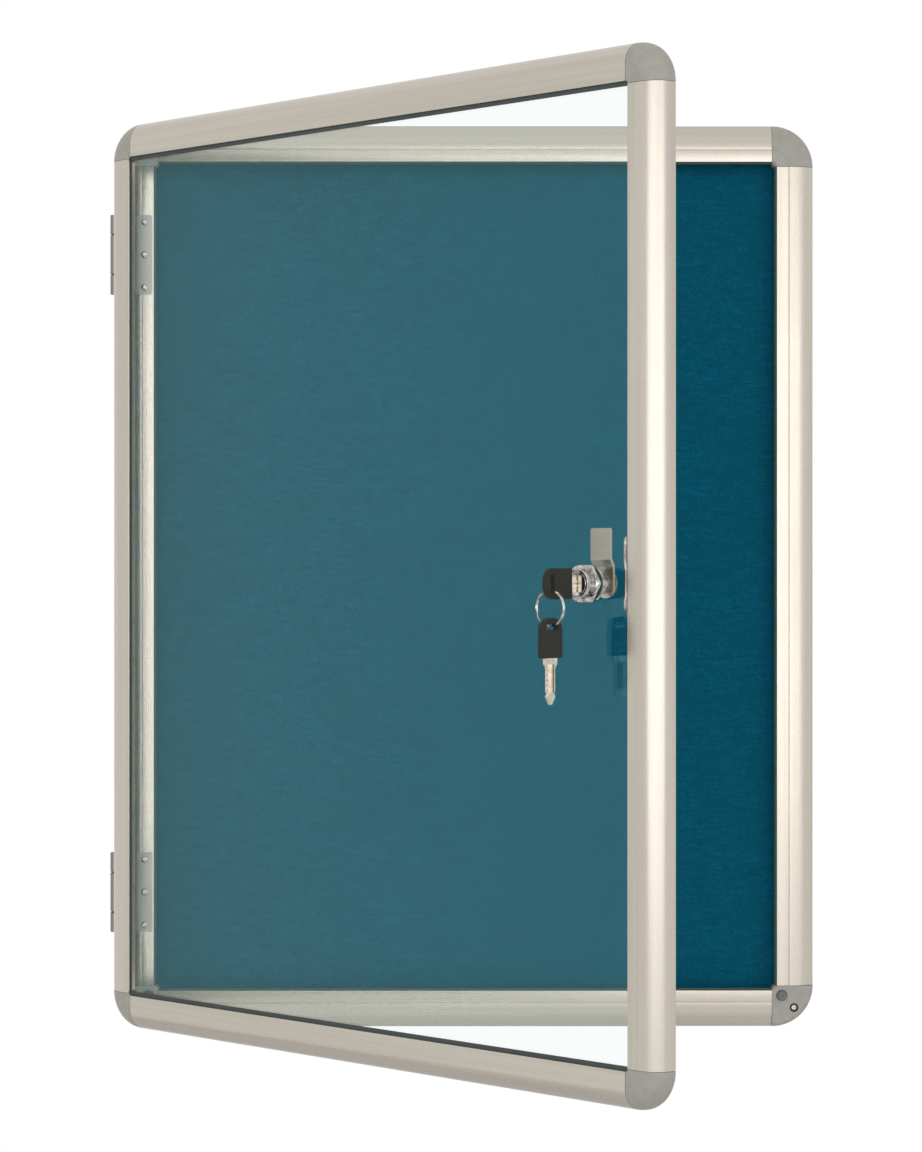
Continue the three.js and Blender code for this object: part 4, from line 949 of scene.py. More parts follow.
class BOARD_OT_frame_corners(bpy.types.Operator):
    """Makes the corner pieces of the back frame with their screws and rubber buffers"""
    bl_idname = "noticeboard.frame_corners"
    bl_label = "Frame Corners"

    def execute(self, context):
        sizes, hinge = context.scene.board_frame, context.scene.board_hinges
        face = sizes.depth - sizes.flat_drop
        chamber = (sizes.wall + CLEARANCE, sizes.web - sizes.wall - CLEARANCE)
        head, counterbore = hinge.corner_head / 2, sizes.counterbore / 2
        screw_axis, buffer_axis = self.axis(sizes.screw_offset), self.axis(sizes.buffer_offset)
        for corner in CORNERS:
            upper = corner.startswith("top")
            outline = upper_outline(sizes) if upper else lower_outline(sizes)
            piece = corner_piece(
                f"frame_corner_piece_{corner}", sizes, outline, chamber, -OVERRUN, sizes.board_lip)
            home = side_home(Matrix(), corner, *frame_extent())
            if not upper:
                well = [(head - 2 * CLEARANCE, face - sizes.well), (counterbore, face - sizes.well),
                        (counterbore, face), (head - 2 * CLEARANCE, face)]
                carve(
                    piece,
                    moved(rod("bore", head + 2 * CLEARANCE, sizes.wall, face + OVERRUN), screw_axis),
                    moved(rod("bore", 2 * counterbore, face - sizes.counterbore_depth, face + OVERRUN), screw_axis),
                    moved(turned("well", well), screw_axis),
                    moved(rod("bore", sizes.buffer_width, face - sizes.buffer_seat, face + OVERRUN), buffer_axis))
                self.fixings(corner, sizes, hinge, face, home @ screw_axis, home @ buffer_axis)
            fit(piece, home, "Corner lacquer", "frame", "corner_piece", f"frame_corner_{corner}")
        return {"FINISHED"}

    @staticmethod
    def axis(inset):
        """Axis of a bore in a corner piece, from both outer edges"""
        return at(-inset, 0, -inset) @ FORWARD_TURN

    @staticmethod
    def fixings(corner, sizes, hinge, face, screw_home, buffer_home):
        """The screw and the rubber buffer of a lower corner"""
        side = corner.rsplit("_", 1)[1]
        seat = face - sizes.counterbore_depth + CLEARANCE
        screw = domed_screw(f"corner_screw_{side}", hinge.corner_head, hinge.corner_screw, hinge.dome)
        fit(screw, screw_home @ at(0, 0, seat) @ spin(math.radians(28)), "Plated screw", "frame", "screw",
            f"frame_corner_screw_{side}")
        radius = sizes.buffer_width / 2 - CLEARANCE
        rear = face - sizes.buffer_seat + CLEARANCE
        front = sizes.depth + bpy.context.scene.board_door.gap - CLEARANCE
        dimple = radius * 0.3
        profile = [(0, rear), (radius, rear),
                   *arc(radius - sizes.buffer_round, front - sizes.buffer_round, sizes.buffer_round, 0, QUARTER, 12),
                   (dimple, front), (dimple * 0.8, front - CLEARANCE), (0, front - CLEARANCE)]
        buffer = turned(f"rubber_buffer_{side}", profile, SMALL_TURN_STEPS)
        fit(buffer, buffer_home, "Grey rubber", "frame", "rubber", f"door_buffer_{side}")


class BOARD_OT_pin_board(bpy.types.Operator):
    """Lays the felt over the pin board"""
    bl_idname = "noticeboard.pin_board"
    bl_label = "Pin Board"

    across = 96
    up = 128
    unevenness = 0.12 * MM
    swells = 21
    ripples = 75

    def execute(self, context):
        low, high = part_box("felt_cover")
        width, height = high.x - low.x, high.z - low.z
        points, faces = [], []
        for face_y, sign in ((low.y, 1), (high.y, 0)):
            for row in range(self.up + 1):
                for column in range(self.across + 1):
                    x = low.x + width * column / self.across
                    z = low.z + height * row / self.up
                    swell = noise.noise(Vector((x * self.swells, z * self.swells, 0.3)))
                    ripple = noise.noise(Vector((x * self.ripples, z * self.ripples, 4)))
                    wave = max(-1.0, min(1.0, swell + 0.4 * ripple))
                    points.append((x, face_y + sign * self.unevenness * (0.5 + 0.5 * wave), z))
        layer = (self.across + 1) * (self.up + 1)
        step = self.across + 1
        for first in (0, layer):
            for row in range(self.up):
                for column in range(self.across):
                    here = first + row * step + column
                    faces.append((here, here + 1, here + step + 1, here + step))
        border = list(range(step))
        border += [row * step + self.across for row in range(1, self.up + 1)]
        border += [self.up * step + column for column in range(self.across - 1, -1, -1)]
        border += [row * step for row in range(self.up - 1, 0, -1)]
        for index, here in enumerate(border):
            on = border[(index + 1) % len(border)]
            faces.append((here, on, on + layer, here + layer))
        felt = solid("felt", points, faces)
        fit(felt, Matrix(), "Pressed felt", "frame", "felt", "felt_cover")
        return {"FINISHED"}


# Door

def hinge_planes():
    """Rear of the frame's leaves, front of the door's leaves and the pins midway, from the wall"""
    scene = bpy.context.scene
    frame_rear = scene.board_frame.depth + CLEARANCE
    door_front = scene.board_frame.depth + scene.board_door.gap - CLEARANCE
    return frame_rear, door_front, (frame_rear + door_front) / 2


def door_extent():
    sizes = bpy.context.scene.board_door
    width, height = frame_extent()
    return width - sizes.hinge_inset - sizes.lock_inset, height - 2 * sizes.inset


def door_middle():
    """Home of the door's middle on its rear plane"""
    scene = bpy.context.scene
    _, door_front, pin_forward = hinge_planes()
    across = scene.board_hinges.outset + scene.board_door.hinge_inset + door_extent()[0] / 2
    return DOOR_HOME @ at(across, pin_forward - door_front - CLEARANCE, 0)


def door_curve(sizes, radius, start=math.pi):
    return arc(sizes.depth, 0, radius, start, QUARTER)


def door_section(sizes):
    """Outline and chamber of the door's section, inward and forward"""
    front = sizes.depth - sizes.lip
    rear = front - sizes.channel
    lip_end = sizes.web + sizes.rear_lip_width
    outline = [
        *door_curve(sizes, sizes.depth), (sizes.face, sizes.depth), (sizes.face, front), (sizes.web, front),
        (sizes.web, rear), (lip_end, rear), (lip_end, rear - sizes.rear_lip), (sizes.web, rear - sizes.rear_lip),
        (sizes.web, 0),
    ]
    inner = sizes.depth - sizes.wall
    chamber = [*door_curve(sizes, inner, math.pi - math.asin(sizes.wall / inner)), (sizes.depth, sizes.wall)]
    return [eased(outline, bpy.context.scene.board_frame.edge_round), chamber]


class BOARD_OT_door_sections(bpy.types.Operator):
    """Makes the four extruded sections of the door"""
    bl_idname = "noticeboard.door_sections"
    bl_label = "Door Sections"

    def execute(self, context):
        sizes, hinge = context.scene.board_door, context.scene.board_hinges
        nodes = ("door_rail_top", "door_stile_lock", "door_rail_bottom", "door_stile_hinge")
        sections("door", nodes, door_section(sizes), door_extent(), sizes.corner, door_middle(),
                 hinge.door_column, -OVERRUN, 2 * sizes.wall)
        return {"FINISHED"}


class BOARD_OT_door_corners(bpy.types.Operator):
    """Makes the four rounded corner pieces of the door"""
    bl_idname = "noticeboard.door_corners"
    bl_label = "Door Corners"

    def execute(self, context):
        sizes = context.scene.board_door
        front = sizes.depth - sizes.lip
        outline = eased([
            *door_curve(sizes, sizes.depth), (sizes.face, sizes.depth), (sizes.face, front),
            (sizes.corner_fill, front), (sizes.corner_fill, 0),
        ], context.scene.board_frame.edge_round)
        chamber = (sizes.leg_start, sizes.depth - CLEARANCE)
        for corner in CORNERS:
            piece = corner_piece(
                f"door_corner_piece_{corner}", sizes, outline, chamber, front - sizes.channel, front)
            home = side_home(door_middle(), corner, *door_extent())
            fit(piece, home, "Corner lacquer", "door", "corner_piece", f"door_corner_{corner}")
        return {"FINISHED"}


class BOARD_OT_stile_plate(bpy.types.Operator):
    """Makes the slim plate on the lock stile and its screw"""
    bl_idname = "noticeboard.stile_plate"
    bl_label = "Stile Plate"

    def execute(self, context):
        sizes, hinge = context.scene.board_door, context.scene.board_hinges
        width, _ = door_extent()
        half = sizes.plate_height / 2
        corner_round, edge_round = 0.3 * MM, 0.25 * MM
        thick, waist = sizes.plate_thickness, sizes.plate_waist
        outline = [
            (0, half), (-thick, half - thick), (-thick, 0.3 * half), (-thick + waist, 0.22 * half),
            (-thick + waist, -0.2 * half), (-thick, -0.28 * half),
            *arc(0, -half + thick, thick, math.pi, 1.5 * math.pi, 16),
        ]
        plate = extruded("lock_stile_plate", [eased(outline, corner_round, 5)], sizes.plate_depth)
        rounded(plate, edge_round, 3, 60)
        place = at(width / 2 - sizes.face - CLEARANCE, -sizes.depth - CLEARANCE, sizes.plate_centre)
        home = door_middle() @ place
        inward = spin(-QUARTER, "Y")
        bore = rod("bore", hinge.plate_head / 2 + CLEARANCE, -OVERRUN, thick + OVERRUN)
        carve(plate, moved(bore, at(0, sizes.screw_rise, sizes.plate_depth / 2) @ inward))
        fit(plate, home @ at(0, sizes.plate_depth, 0) @ FORWARD_TURN, "Chrome", "door", "chrome", "stile_plate")
        screw = domed_screw("lock_stile_plate_screw", hinge.plate_head, thick, hinge.dome)
        place = at(-thick - CLEARANCE / 2, sizes.plate_depth / 2, sizes.screw_rise)
        fit(screw, home @ place @ inward, "Plated screw", "door", "screw", "stile_plate_screw")
        return {"FINISHED"}


class BOARD_OT_hinges(bpy.types.Operator):
    """Makes the leaves, pins and screws of both hinges"""
    bl_idname = "noticeboard.hinges"
    bl_label = "Hinges"

    def execute(self, context):
        sizes, door = context.scene.board_hinges, context.scene.board_door
        _, height = frame_extent()
        frame_rear, door_front, pin_forward = hinge_planes()
        rear, door_rear = pin_forward - frame_rear, pin_forward - door_front + sizes.leaf
        half = sizes.height / 2
        middle = half - sizes.height * sizes.end_share
        gap = sizes.knuckle_gap / 2
        frame_column = sizes.outset + sizes.frame_column
        door_column = sizes.outset + door.hinge_inset + sizes.door_column
        rows = {number: (number - 2) * sizes.spread for number in (1, 2, 3)}
        heights = {"upper": height / 2 - sizes.top_inset, "lower": -height / 2 + sizes.bottom_inset}
        for level, rise in heights.items():
            home = at(PIN.x, PIN.y, rise)
            places = [at(frame_column, rear, row) @ FORWARD_TURN for row in rows.values()]
            holes = [moved(rod("hole", sizes.head / 2 + CLEARANCE, -OVERRUN, OVERRUN), place) for place in places]
            leaf = self.leaf(
                f"hinge_leaf_on_frame_{level}", sizes, rear, sizes.outset + sizes.frame_end,
                [(-half, -middle - gap), (middle + gap, half)], [(-middle - gap, middle + gap)], holes)
            fit(leaf, home, "Hinge steel", "frame", "hinge", f"hinge_{level}_frame_leaf")
            fit(self.pin(f"hinge_rod_{level}", sizes), home, "Hinge pin", "frame", "hinge", f"hinge_{level}_pin")
            for number, row in rows.items():
                screw = domed_screw(f"frame_leaf_screw_{level}_{number}", sizes.head, sizes.frame_screw, sizes.dome)
                place = at(frame_column, rear - sizes.leaf - CLEARANCE / 2, row) @ FORWARD_TURN
                # Each screw came to rest at another angle
                driven = spin(math.radians(31 * number - 14))
                fit(screw, home @ place @ driven, "Plated screw", "frame", "screw",
                    f"hinge_{level}_frame_screw_{number}")
            home = DOOR_HOME @ at(0, 0, rise)
            places = [at(door_column, door_rear, row) @ FORWARD_TURN for row in rows.values()]
            sinks = [moved(self.countersunk("sink", sizes, CLEARANCE, False), place) for place in places]
            leaf = self.leaf(
                f"hinge_leaf_on_door_{level}", sizes, door_rear, sizes.outset + door.hinge_inset + sizes.door_end,
                [(-middle + gap, middle - gap)],
                [(-half - OVERRUN, -middle + gap), (middle - gap, half + OVERRUN)], sinks)
            fit(leaf, home, "Hinge steel", "door", "hinge", f"hinge_{level}_door_leaf")
            for number, place in zip(rows, places):
                screw = self.countersunk(f"door_leaf_screw_{level}_{number}", sizes, 0.0, True)
                fit(screw, home @ place, "Plated screw", "door", "screw", f"hinge_{level}_door_screw_{number}")
        return {"FINISHED"}

    @staticmethod
    def pin(name, sizes):
        """The pin with both its ends blunted"""
        radius, half = sizes.pin / 2, sizes.height / 2
        bevel = 0.5 * radius
        profile = [(0, -half), (0.6 * radius, -half), (radius, -half + bevel), (radius, half - bevel),
                   (0.6 * radius, half), (0, half)]
        return turned(name, profile, SMALL_TURN_STEPS)

    @staticmethod
    def leaf(name, sizes, rear, end, knuckles, gaps, holes):
        """A leaf about its pin, with the knuckles that it carries, the gaps for those that it doesn't and its holes"""
        half = sizes.height / 2
        corner_round, edge, weld = 1.2 * MM, 0.25 * MM, 0.002 * MM
        outline = eased([(0, -half), (end, -half), (end, half), (0, half)], corner_round, 6)
        plate = moved(extruded(name, [outline], sizes.leaf), at(0, rear, 0) @ FORWARD_TURN)
        radius = sizes.knuckle / 2
        joined(plate, *[
            turned("knuckle", [(0, start), (radius - edge, start), (radius, start + edge), (radius, stop - edge),
                               (radius - edge, stop), (0, stop)])
            for start, stop in knuckles])
        cuts = [rod("gap", sizes.knuckle + 5 * CLEARANCE, start, stop) for start, stop in gaps]
        cuts.append(rod("bore", sizes.pin + 2 * CLEARANCE, -half - OVERRUN, half + OVERRUN))
        carve(plate, *cuts, *holes)
        # The cuts leave two corners of a knuckle's end a thousandth of a millimetre apart
        plate.modifiers.new("join corners", "WELD").merge_threshold = weld
        return settle(plate)

    @staticmethod
    def countersunk(name, sizes, margin, recessed):
        """A countersunk screw along Z, its head flush at zero"""
        radius, shank = sizes.head / 2 + margin, sizes.head / 4 + margin
        reach = sizes.door_screw + margin
        profile = [(0, -margin), (radius + margin, -margin), (shank, sizes.leaf), (shank, reach), (0, reach)]
        piece = turned(name, profile, SMALL_TURN_STEPS)
        if recessed:
            arm, slit, deep = 0.6 * radius, 0.14 * radius, 0.6 * sizes.leaf
            recess(piece, arm, slit, -OVERRUN, deep, 0.5)
        return piece


# Lock

def chamfer(flats, height, step):
    """Profile points of the bevel on a six-sided head, from its flats outward"""
    blunt, parts = 0.12 * MM, 5
    corner = flats / 2 / math.cos(math.pi / 6) - blunt
    rise = corner - flats / 2
    return [(flats / 2 + rise * part / parts, height + step * rise * part / parts) for part in range(parts + 1)]


class BOARD_OT_lock(bpy.types.Operator):
    """Makes the cam lock: housing, washer, nut, plug, cam and the screw that holds it"""
    bl_idname = "noticeboard.lock"
    bl_label = "Cam Lock"

    def execute(self, context):
        sizes = context.scene.board_lock
        home = LOCK_HOME @ REARWARD_TURN
        fit(self.housing(sizes), home, "Chrome", "door", "chrome", "lock_housing")
        fit(self.washer(sizes), home, "Dark rubber", "door", "rubber", "lock_washer")
        fit(self.nut(sizes), home, "Chrome", "door", "chrome", "lock_nut")
        fit(self.plug(sizes, context.scene.board_keys), home, "Chrome", "lock", "chrome", "lock_plug")
        fit(self.cam(sizes), LOCK_HOME @ UPRIGHT_TURN, "Cam steel", "lock", "cam", "lock_cam")
        fit(self.cam_screw(sizes), home, "Plated screw", "lock", "screw", "cam_screw")
        return {"FINISHED"}

    @staticmethod
    def thread(sizes, start, end):
        """Profile points of the thread's crests and roots from start to end"""
        turns = int((end - start) / sizes.thread_pitch)
        depth = 0.45 * sizes.thread_pitch
        # Crest, root and crest: how far along the pitch and how deep
        wave = ((0.1, 0), (0.5, depth), (0.9, 0))
        return [(sizes.thread / 2 - deep, start + turn * sizes.thread_pitch + part * sizes.thread_pitch)
                for turn in range(turns) for part, deep in wave]

    def housing(self, sizes):
        """The barrel with its rolled rim, its six-sided flange and its thread"""
        bore = sizes.plug / 2 + CLEARANCE
        seat = sizes.head / 2 + CLEARANCE
        radius = sizes.barrel / 2
        rim = radius - seat
        front = -sizes.projection
        flange_front = -CLEARANCE - sizes.flange
        thread_start = sizes.glass + sizes.washer
        thread_end = sizes.thread_length - 0.5 * MM
        thread_bevel = 0.4 * MM
        profile = [
            (bore, sizes.thread_length), (bore, front + sizes.head_depth + CLEARANCE),
            (seat, front + sizes.head_depth + CLEARANCE), (seat, front + 0.15 * rim), (seat + 0.15 * rim, front),
            *[(radius - rim / 2 + rim / 2 * math.sin(angle), front + rim / 2 - rim / 2 * math.cos(angle))
              for angle in quarter_steps(8)],
            (radius, flange_front), *chamfer(sizes.flats, flange_front, 1),
            (sizes.flats, -CLEARANCE), (sizes.thread / 2, -CLEARANCE),
            *self.thread(sizes, thread_start, thread_end), (sizes.thread / 2 - thread_bevel, sizes.thread_length),
        ]
        return turned("lock_barrel", profile, 2 * TURN_STEPS, flats=sizes.flats)

    @staticmethod
    def washer(sizes):
        """The rubber washer between glass and nut"""
        front = sizes.glass + CLEARANCE
        inner, outer = sizes.thread / 2 + CLEARANCE, sizes.flats / 2
        outline = [(inner, front), (outer, front), (outer, front + sizes.washer), (inner, front + sizes.washer)]
        return turned("glass_washer", eased(outline, 0.25 * MM))

    @staticmethod
    def nut(sizes):
        """The nut, bevelled at its rear"""
        front = sizes.glass + sizes.washer + 2 * CLEARANCE
        rear = front + sizes.nut
        bore = sizes.thread / 2 + CLEARANCE
        profile = [(bore, front), (sizes.nut_flats, front), *chamfer(sizes.nut_flats, rear, -1)[::-1], (bore, rear)]
        return turned("glass_nut", profile, 2 * TURN_STEPS, flats=sizes.nut_flats)

    @staticmethod
    def plug(sizes, keys):
        """The plug with its keyway, the square that carries the cam and the bore for the cam's screw"""
        front = -sizes.projection
        base_front = sizes.cam_front + sizes.crank
        base_rear = base_front + sizes.cam
        rear = base_front - CLEARANCE
        bevel = 0.25 * sizes.head_depth
        head = sizes.head / 2
        edge = arc(head - bevel, front + bevel, bevel, -QUARTER, 0, 6)
        profile = [(0, front), *edge, (head, front + sizes.head_depth), (sizes.plug / 2, front + sizes.head_depth),
                   (sizes.plug / 2, rear), (0, rear)]
        piece = turned("key_plug", profile)
        half = sizes.square / 2
        joined(piece, box("tail", (-half, -half, rear - OVERRUN), (half, half, base_rear - CLEARANCE)))
        screw_end = base_rear - sizes.screw_reach - CLEARANCE
        slot_x, slot_z = keys.thickness / 2 + CLEARANCE, keys.width / 2 + CLEARANCE
        mouth_x = slot_x + bevel
        end = front - keys.gap + keys.blade + 2 * CLEARANCE
        half_way = [(mouth_x, front - OVERRUN), (mouth_x, front), (slot_x, front + bevel), (slot_x, end)]
        keyway = extruded("keyway", [half_way + [(-x, y) for x, y in reversed(half_way)]], 2 * slot_z)
        moved(keyway, at(0, slot_z, 0) @ FORWARD_TURN)
        bore = rod("bore", sizes.screw_shank + 2 * CLEARANCE, screw_end, base_rear + OVERRUN)
        return carve(piece, keyway, bore)

    @staticmethod
    def cam(sizes):
        """The cam drawn rearward and upward, its width along Z"""
        end_front = sizes.cam_front
        base_front = end_front + sizes.crank
        base_rear = base_front + sizes.cam
        bend, bend_round, edge_round = sizes.cam / 2, 0.9 * MM, 0.28 * MM
        side = eased([
            (base_front, -sizes.cam_drop), (base_rear, -sizes.cam_drop), (base_rear, sizes.crank_start),
            (end_front + sizes.cam, sizes.crank_end), (end_front + sizes.cam, sizes.cam_reach),
            (end_front, sizes.cam_reach), (end_front, sizes.crank_end - bend),
            (base_front, sizes.crank_start - bend),
        ], bend_round, 6, 176)
        half = sizes.cam_width / 2
        piece = extruded("lock_tongue", [side], sizes.cam_width, -half)
        outline = []
        for x, y, radius, start in (
            (-half, -sizes.cam_drop, sizes.cam_drop_round, math.pi),
            (half, -sizes.cam_drop, sizes.cam_drop_round, 1.5 * math.pi),
            (half, sizes.cam_reach, sizes.cam_round, 0), (-half, sizes.cam_reach, sizes.cam_round, QUARTER),
        ):
            centre_x = x - math.copysign(radius, x)
            centre_y = y + radius if y < 0 else y - radius
            outline += arc(centre_x, centre_y, radius, start, start + QUARTER, 10)
        blank = extruded("blank", [outline], base_rear - end_front + 2 * OVERRUN)
        face = Matrix(((0, 0, 1), (0, 1, 0), (-1, 0, 0))).to_4x4()
        moved(blank, at(end_front - OVERRUN, 0, 0) @ face)
        carve(piece, blank, operation="INTERSECT")
        rounded(piece, edge_round, 3, 50)
        square = sizes.square / 2 + CLEARANCE
        return carve(piece, box("hole", (base_front - OVERRUN, -square, -square),
                                (base_rear + OVERRUN, square, square)))

    @staticmethod
    def cam_screw(sizes):
        """The screw behind the cam, in one piece with its washer"""
        base_rear = sizes.cam_front + sizes.crank + sizes.cam
        seat = base_rear + CLEARANCE
        washer_rear = seat + sizes.screw_washer_depth
        head_rear = washer_rear + sizes.screw_height
        head = sizes.screw_head / 2
        edge = 0.2 * MM
        crown = 0.38 * head
        washer = sizes.screw_washer / 2
        profile = [
            (0, base_rear - sizes.screw_reach), (sizes.screw_shank / 2, base_rear - sizes.screw_reach),
            (sizes.screw_shank / 2, seat), (washer - edge, seat), (washer, seat + edge),
            (washer, washer_rear - edge), (washer - edge, washer_rear), (head, washer_rear),
            *[(head - crown * (1 - math.cos(angle)),
               head_rear - sizes.screw_height / 2 + sizes.screw_height / 2 * math.sin(angle))
              for angle in quarter_steps(10)],
            (0, head_rear),
        ]
        piece = turned("tongue_screw", profile)
        arm, slit, deep = 0.5 * head, 0.12 * head, head_rear - 0.6 * sizes.screw_height
        return recess(piece, arm, slit, deep, head_rear + OVERRUN, 0.3)


# Keys

class BOARD_OT_keys(bpy.types.Operator):
    """Makes the key in the lock, the spare key and the split ring that joins them"""
    bl_idname = "noticeboard.keys"
    bl_label = "Keys"

    def execute(self, context):
        sizes, lock = context.scene.board_keys, context.scene.board_lock
        foot = -lock.projection - sizes.gap
        key_home = LOCK_HOME @ at(0, foot, 0)
        spare_low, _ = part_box("spare_key_bow")
        spare_home = at(RING_TOP.x, RING_TOP.y, spare_low.z) @ spin(-OPEN_ANGLE) @ REARWARD_TURN
        for prefix, body, home in (("", "key", key_home), ("spare_", "spare_key", spare_home)):
            flat = home @ UPRIGHT_TURN
            fit(self.blade(f"{prefix}blade", sizes), flat, "Nickelled blade", body, "key_blade", f"{prefix}key_blade")
            fit(self.bow(f"{prefix}bow", sizes), flat, "Key grip", body, "key_bow", f"{prefix}key_bow")
        ring_home = Matrix.Translation(RING_TOP) @ spin(-OPEN_ANGLE) @ FORWARD_TURN
        fit(self.ring(sizes), ring_home, "Chrome", "ring", "chrome", "key_ring")
        return {"FINISHED"}

    @staticmethod
    def blade(name, sizes):
        """A blade drawn rearward and upward, its thickness along Z, the bow's foot at zero"""
        half, shoulder = sizes.width / 2, sizes.shoulder / 2
        corner_round, edge_round, groove_level = 0.3 * MM, 0.1 * MM, 0.32 * half
        taper_end = sizes.shoulder_length + sizes.taper
        count = int((sizes.blade - sizes.tip - taper_end) / sizes.pitch - 0.3)
        cuts = []
        for index in range(count):
            start = taper_end + sizes.pitch * (index + 0.3)
            depth = sizes.cut * (1 - 0.5 * (index % 2))
            cuts += [(start, half), (start + 0.3 * sizes.pitch, half - depth),
                     (start + 0.7 * sizes.pitch, half - depth)]
        upper = [(-sizes.root, half), (0, half), (0, shoulder), (sizes.shoulder_length, shoulder),
                 (taper_end, half), *cuts, (sizes.blade - sizes.tip, half), (sizes.blade, 0.12 * sizes.tip)]
        # A slight bend keeps points out of one line, where the cuts below would tear the blade
        upper = [(along, across * (1 - 0.005 * (along / sizes.blade) ** 2)) for along, across in upper]
        outline = upper + [(along, -across) for along, across in reversed(upper)]
        piece = extruded(name, [eased(outline[::-1], corner_round, 3)], sizes.thickness, -sizes.thickness / 2)
        tools = []
        groove_end = sizes.blade - 1.5 * sizes.tip
        for side in (-1, 1):
            z = side * (sizes.thickness / 2 - sizes.groove_depth + OVERRUN / 2)
            for y in (-groove_level, groove_level):
                tools.append(box("groove", (sizes.shoulder_length, y - sizes.groove / 2, z - OVERRUN / 2),
                                 (groove_end, y + sizes.groove / 2, z + OVERRUN / 2)))
        return carve(rounded(piece, edge_round, 2, 60), *tools)

    @staticmethod
    def bow(name, sizes):
        """A moulded bow drawn like its blade"""
        half, end, foot = sizes.bow_width / 2, sizes.bow_round, sizes.foot_round
        middle = -sizes.bow + sizes.slot_inset
        slot_round = 0.5 * MM

        def loops(inset):
            outline = [
                *arc(-sizes.bow + end, half - end, end - inset, math.pi, QUARTER, 20),
                *arc(-foot, half - foot, foot - inset, QUARTER, 0, 8),
                *arc(-foot, -half + foot, foot - inset, 0, -QUARTER, 8),
                *arc(-sizes.bow + end, -half + end, end - inset, -QUARTER, -math.pi, 20),
            ]
            x, y = sizes.slot_width / 2 + inset, sizes.slot_length / 2 + inset
            slot = [(middle - x, -y), (middle + x, -y), (middle + x, y), (middle - x, y)]
            return [outline[::-1], eased(slot, slot_round + inset, 6)[::-1]]

        edge, top = sizes.edge_round, sizes.bow_thickness / 2
        rise = [(top - edge * (1 - math.cos(angle)), edge * (1 - math.sin(angle))) for angle in quarter_steps(6)]
        levels = [(-height, loops(inset)) for height, inset in rise]
        levels += [(height, loops(inset)) for height, inset in reversed(rise)]
        piece = layered(name, levels)
        width, thickness = sizes.width / 2 + CLEARANCE, sizes.thickness / 2 + CLEARANCE
        return carve(piece, box("pocket", (-sizes.root - CLEARANCE, -width, -thickness), (OVERRUN, width, thickness)))

    @staticmethod
    def ring(sizes):
        """Two close turns of wire about Z, the wire's top at the origin and the crossing at the lower left"""
        middle = (sizes.ring - sizes.wire) / 2
        radius = sizes.wire / 2
        crossing = math.radians(205)
        # Half the angle over which one turn crosses to the other, and half the gap between the wire's ends
        cross = 0.35
        start, stop = cross, 4 * math.pi - cross
        steps, sides = 220, 14
        # How slim the wire is at its end and one step before it
        blunt = {0: 0.72, 1: 0.93}
        points, faces = [], []
        for step in range(steps + 1):
            turn = start + (stop - start) * step / steps
            t = max(0.0, min(1.0, (turn - (2 * math.pi - cross)) / (2 * cross)))
            level = (t * t * (3 - 2 * t) - 0.5) * sizes.coil
            out = Vector((math.cos(crossing + turn), math.sin(crossing + turn), 0))
            slim = radius * blunt.get(min(step, steps - step), 1.0)
            for side in range(sides):
                angle = 2 * math.pi * side / sides
                points.append(out * (middle + slim * math.cos(angle)) + Vector((0, 0, level + slim * math.sin(angle))))
        for step in range(steps):
            for side in range(sides):
                on = (side + 1) % sides
                here, following = step * sides, (step + 1) * sides
                faces.append((here + side, here + on, following + on, following + side))
        faces += [tuple(range(sides)), tuple(range(steps * sides, (steps + 1) * sides))]
        return moved(solid("split_ring", points, faces), at(0, -middle, 0))


# Stage

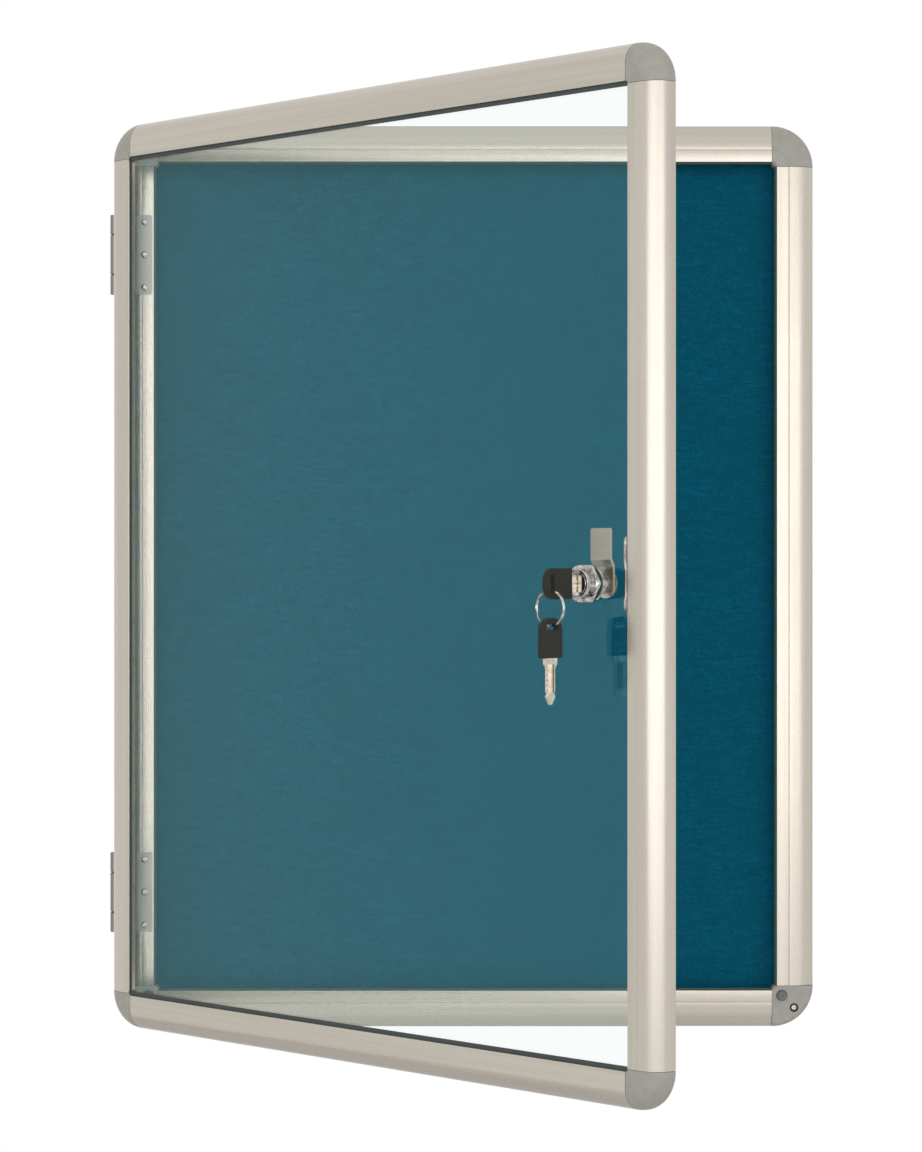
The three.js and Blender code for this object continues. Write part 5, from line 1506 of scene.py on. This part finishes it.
class BOARD_OT_stage(bpy.types.Operator):
    """Sets up the camera, the soft lamps, the white surroundings and the pale floor"""
    bl_idname = "noticeboard.stage"
    bl_label = "Stage"

    def execute(self, context):
        studio = context.scene.board_studio
        scene = context.scene
        scene.view_settings.view_transform = "Standard"
        self.camera(scene)
        self.lamps(scene, studio)
        self.surroundings(scene, studio)
        self.floor(studio)
        return {"FINISHED"}

    @staticmethod
    def camera(scene):
        data = bpy.data.cameras.new("board_camera")
        data.sensor_fit = "AUTO"
        data.sensor_width = 36.0
        data.lens = CAMERA_LENS
        camera = bpy.data.objects.new("board_camera", data)
        camera.location = CAMERA_PLACE
        camera.rotation_euler = (QUARTER, 0, 0)
        scene.collection.objects.link(camera)
        scene.camera = camera

    @staticmethod
    def lamps(scene, studio):
        # Place, width and height, and power of each lamp
        places = {
            "front_lamp": ((0.0, -3.2, 0.15), (4.6, 1.5), studio.front_lamp),
            "left_lamp": ((-2.6, -2.2, 1.8), (1.5, 1.5), studio.side_lamp),
            "right_lamp": ((2.6, -2.2, 1.8), (1.5, 1.5), studio.side_lamp),
        }
        for name, (place, size, power) in places.items():
            data = bpy.data.lights.new(name, "AREA")
            data.shape = "RECTANGLE"
            data.size, data.size_y = size
            data.energy = power
            lamp = bpy.data.objects.new(name, data)
            lamp.location = place
            lamp.rotation_euler = (-Vector(place)).to_track_quat("-Z", "Y").to_euler()
            lamp.visible_glossy = lamp.visible_transmission = name == "front_lamp"
            scene.collection.objects.link(lamp)

    @staticmethod
    def surroundings(scene, studio):
        """White where the camera, metal or glass looks, and dimmer as light on matt surfaces"""
        world = bpy.data.worlds.new("white_surroundings")
        world.use_nodes = True
        world.node_tree.nodes.clear()
        wires = Wiring(world.node_tree)
        strength = wires.ramp(wires.seen(), 0.0, 1.0, studio.ambient, 1.0)
        light = wires.add("ShaderNodeBackground", {"Color": (1.0, 1.0, 1.0, 1.0), "Strength": strength})
        output = wires.add("ShaderNodeOutputWorld")
        wires.give(output.inputs["Surface"], light.outputs[0])
        scene.world = world

    @staticmethod
    def floor(studio):
        floor = rod("pale_floor", 2 * FLOOR_RADIUS, -FLOOR_THICKNESS, 0, 96)
        floor.location.z = -studio.floor_drop
        wires, surface = new_material("Pale floor")
        skin = wires.group("Moulded skin", grain=60.0, waves=4.0)
        base = wires.blend(skin["Tone"], (0.86, 0.86, 0.86, 1.0), (0.88, 0.88, 0.88, 1.0))
        feed(wires, surface, base, wires.ramp(skin["Tone"], 0.0, 1.0, 0.8, 0.9), Emission_Color=(1.0, 1.0, 1.0, 1.0))
        wires.give(surface.inputs["Emission Strength"], wires.maths("MULTIPLY", wires.seen(), FLOOR_GLOW))
        floor.data.materials.append(bpy.data.materials["Pale floor"])


OPERATORS = (
    BOARD_OT_finishes, BOARD_OT_stage, BOARD_OT_frame_sections, BOARD_OT_frame_corners, BOARD_OT_pin_board,
    BOARD_OT_door_sections, BOARD_OT_door_corners, BOARD_OT_stile_plate, BOARD_OT_hinges, BOARD_OT_lock,
    BOARD_OT_keys,
)
GROUPS = {
    "board_frame": FrameSizes, "board_door": DoorSizes, "board_hinges": HingeSizes, "board_lock": LockSizes,
    "board_keys": KeySizes, "board_finishes": Finishes, "board_studio": Studio,
}


class BOARD_PT_panel(bpy.types.Panel):
    """Lists the steps that build the notice board and its sizes and colours"""
    bl_idname = "BOARD_PT_panel"
    bl_label = "Lockable Notice Board"
    bl_space_type = "VIEW_3D"
    bl_region_type = "UI"
    bl_category = "Notice Board"

    def draw(self, context):
        for operator in OPERATORS:
            self.layout.operator(operator.bl_idname)
        for name, group in GROUPS.items():
            area = self.layout.box()
            area.label(text=group.__doc__)
            for entry in group.__annotations__:
                area.prop(getattr(context.scene, name), entry)


def register():
    for entry in (*GROUPS.values(), *OPERATORS, BOARD_PT_panel):
        bpy.utils.register_class(entry)
    for name, group in GROUPS.items():
        setattr(bpy.types.Scene, name, bpy.props.PointerProperty(type=group))


def unregister():
    for name in GROUPS:
        delattr(bpy.types.Scene, name)
    for entry in reversed((*GROUPS.values(), *OPERATORS, BOARD_PT_panel)):
        bpy.utils.unregister_class(entry)


def main():
    register()
    for operator in OPERATORS:
        getattr(bpy.ops.noticeboard, operator.bl_idname.split(".")[1])()


if __name__ == "__main__":
    main()
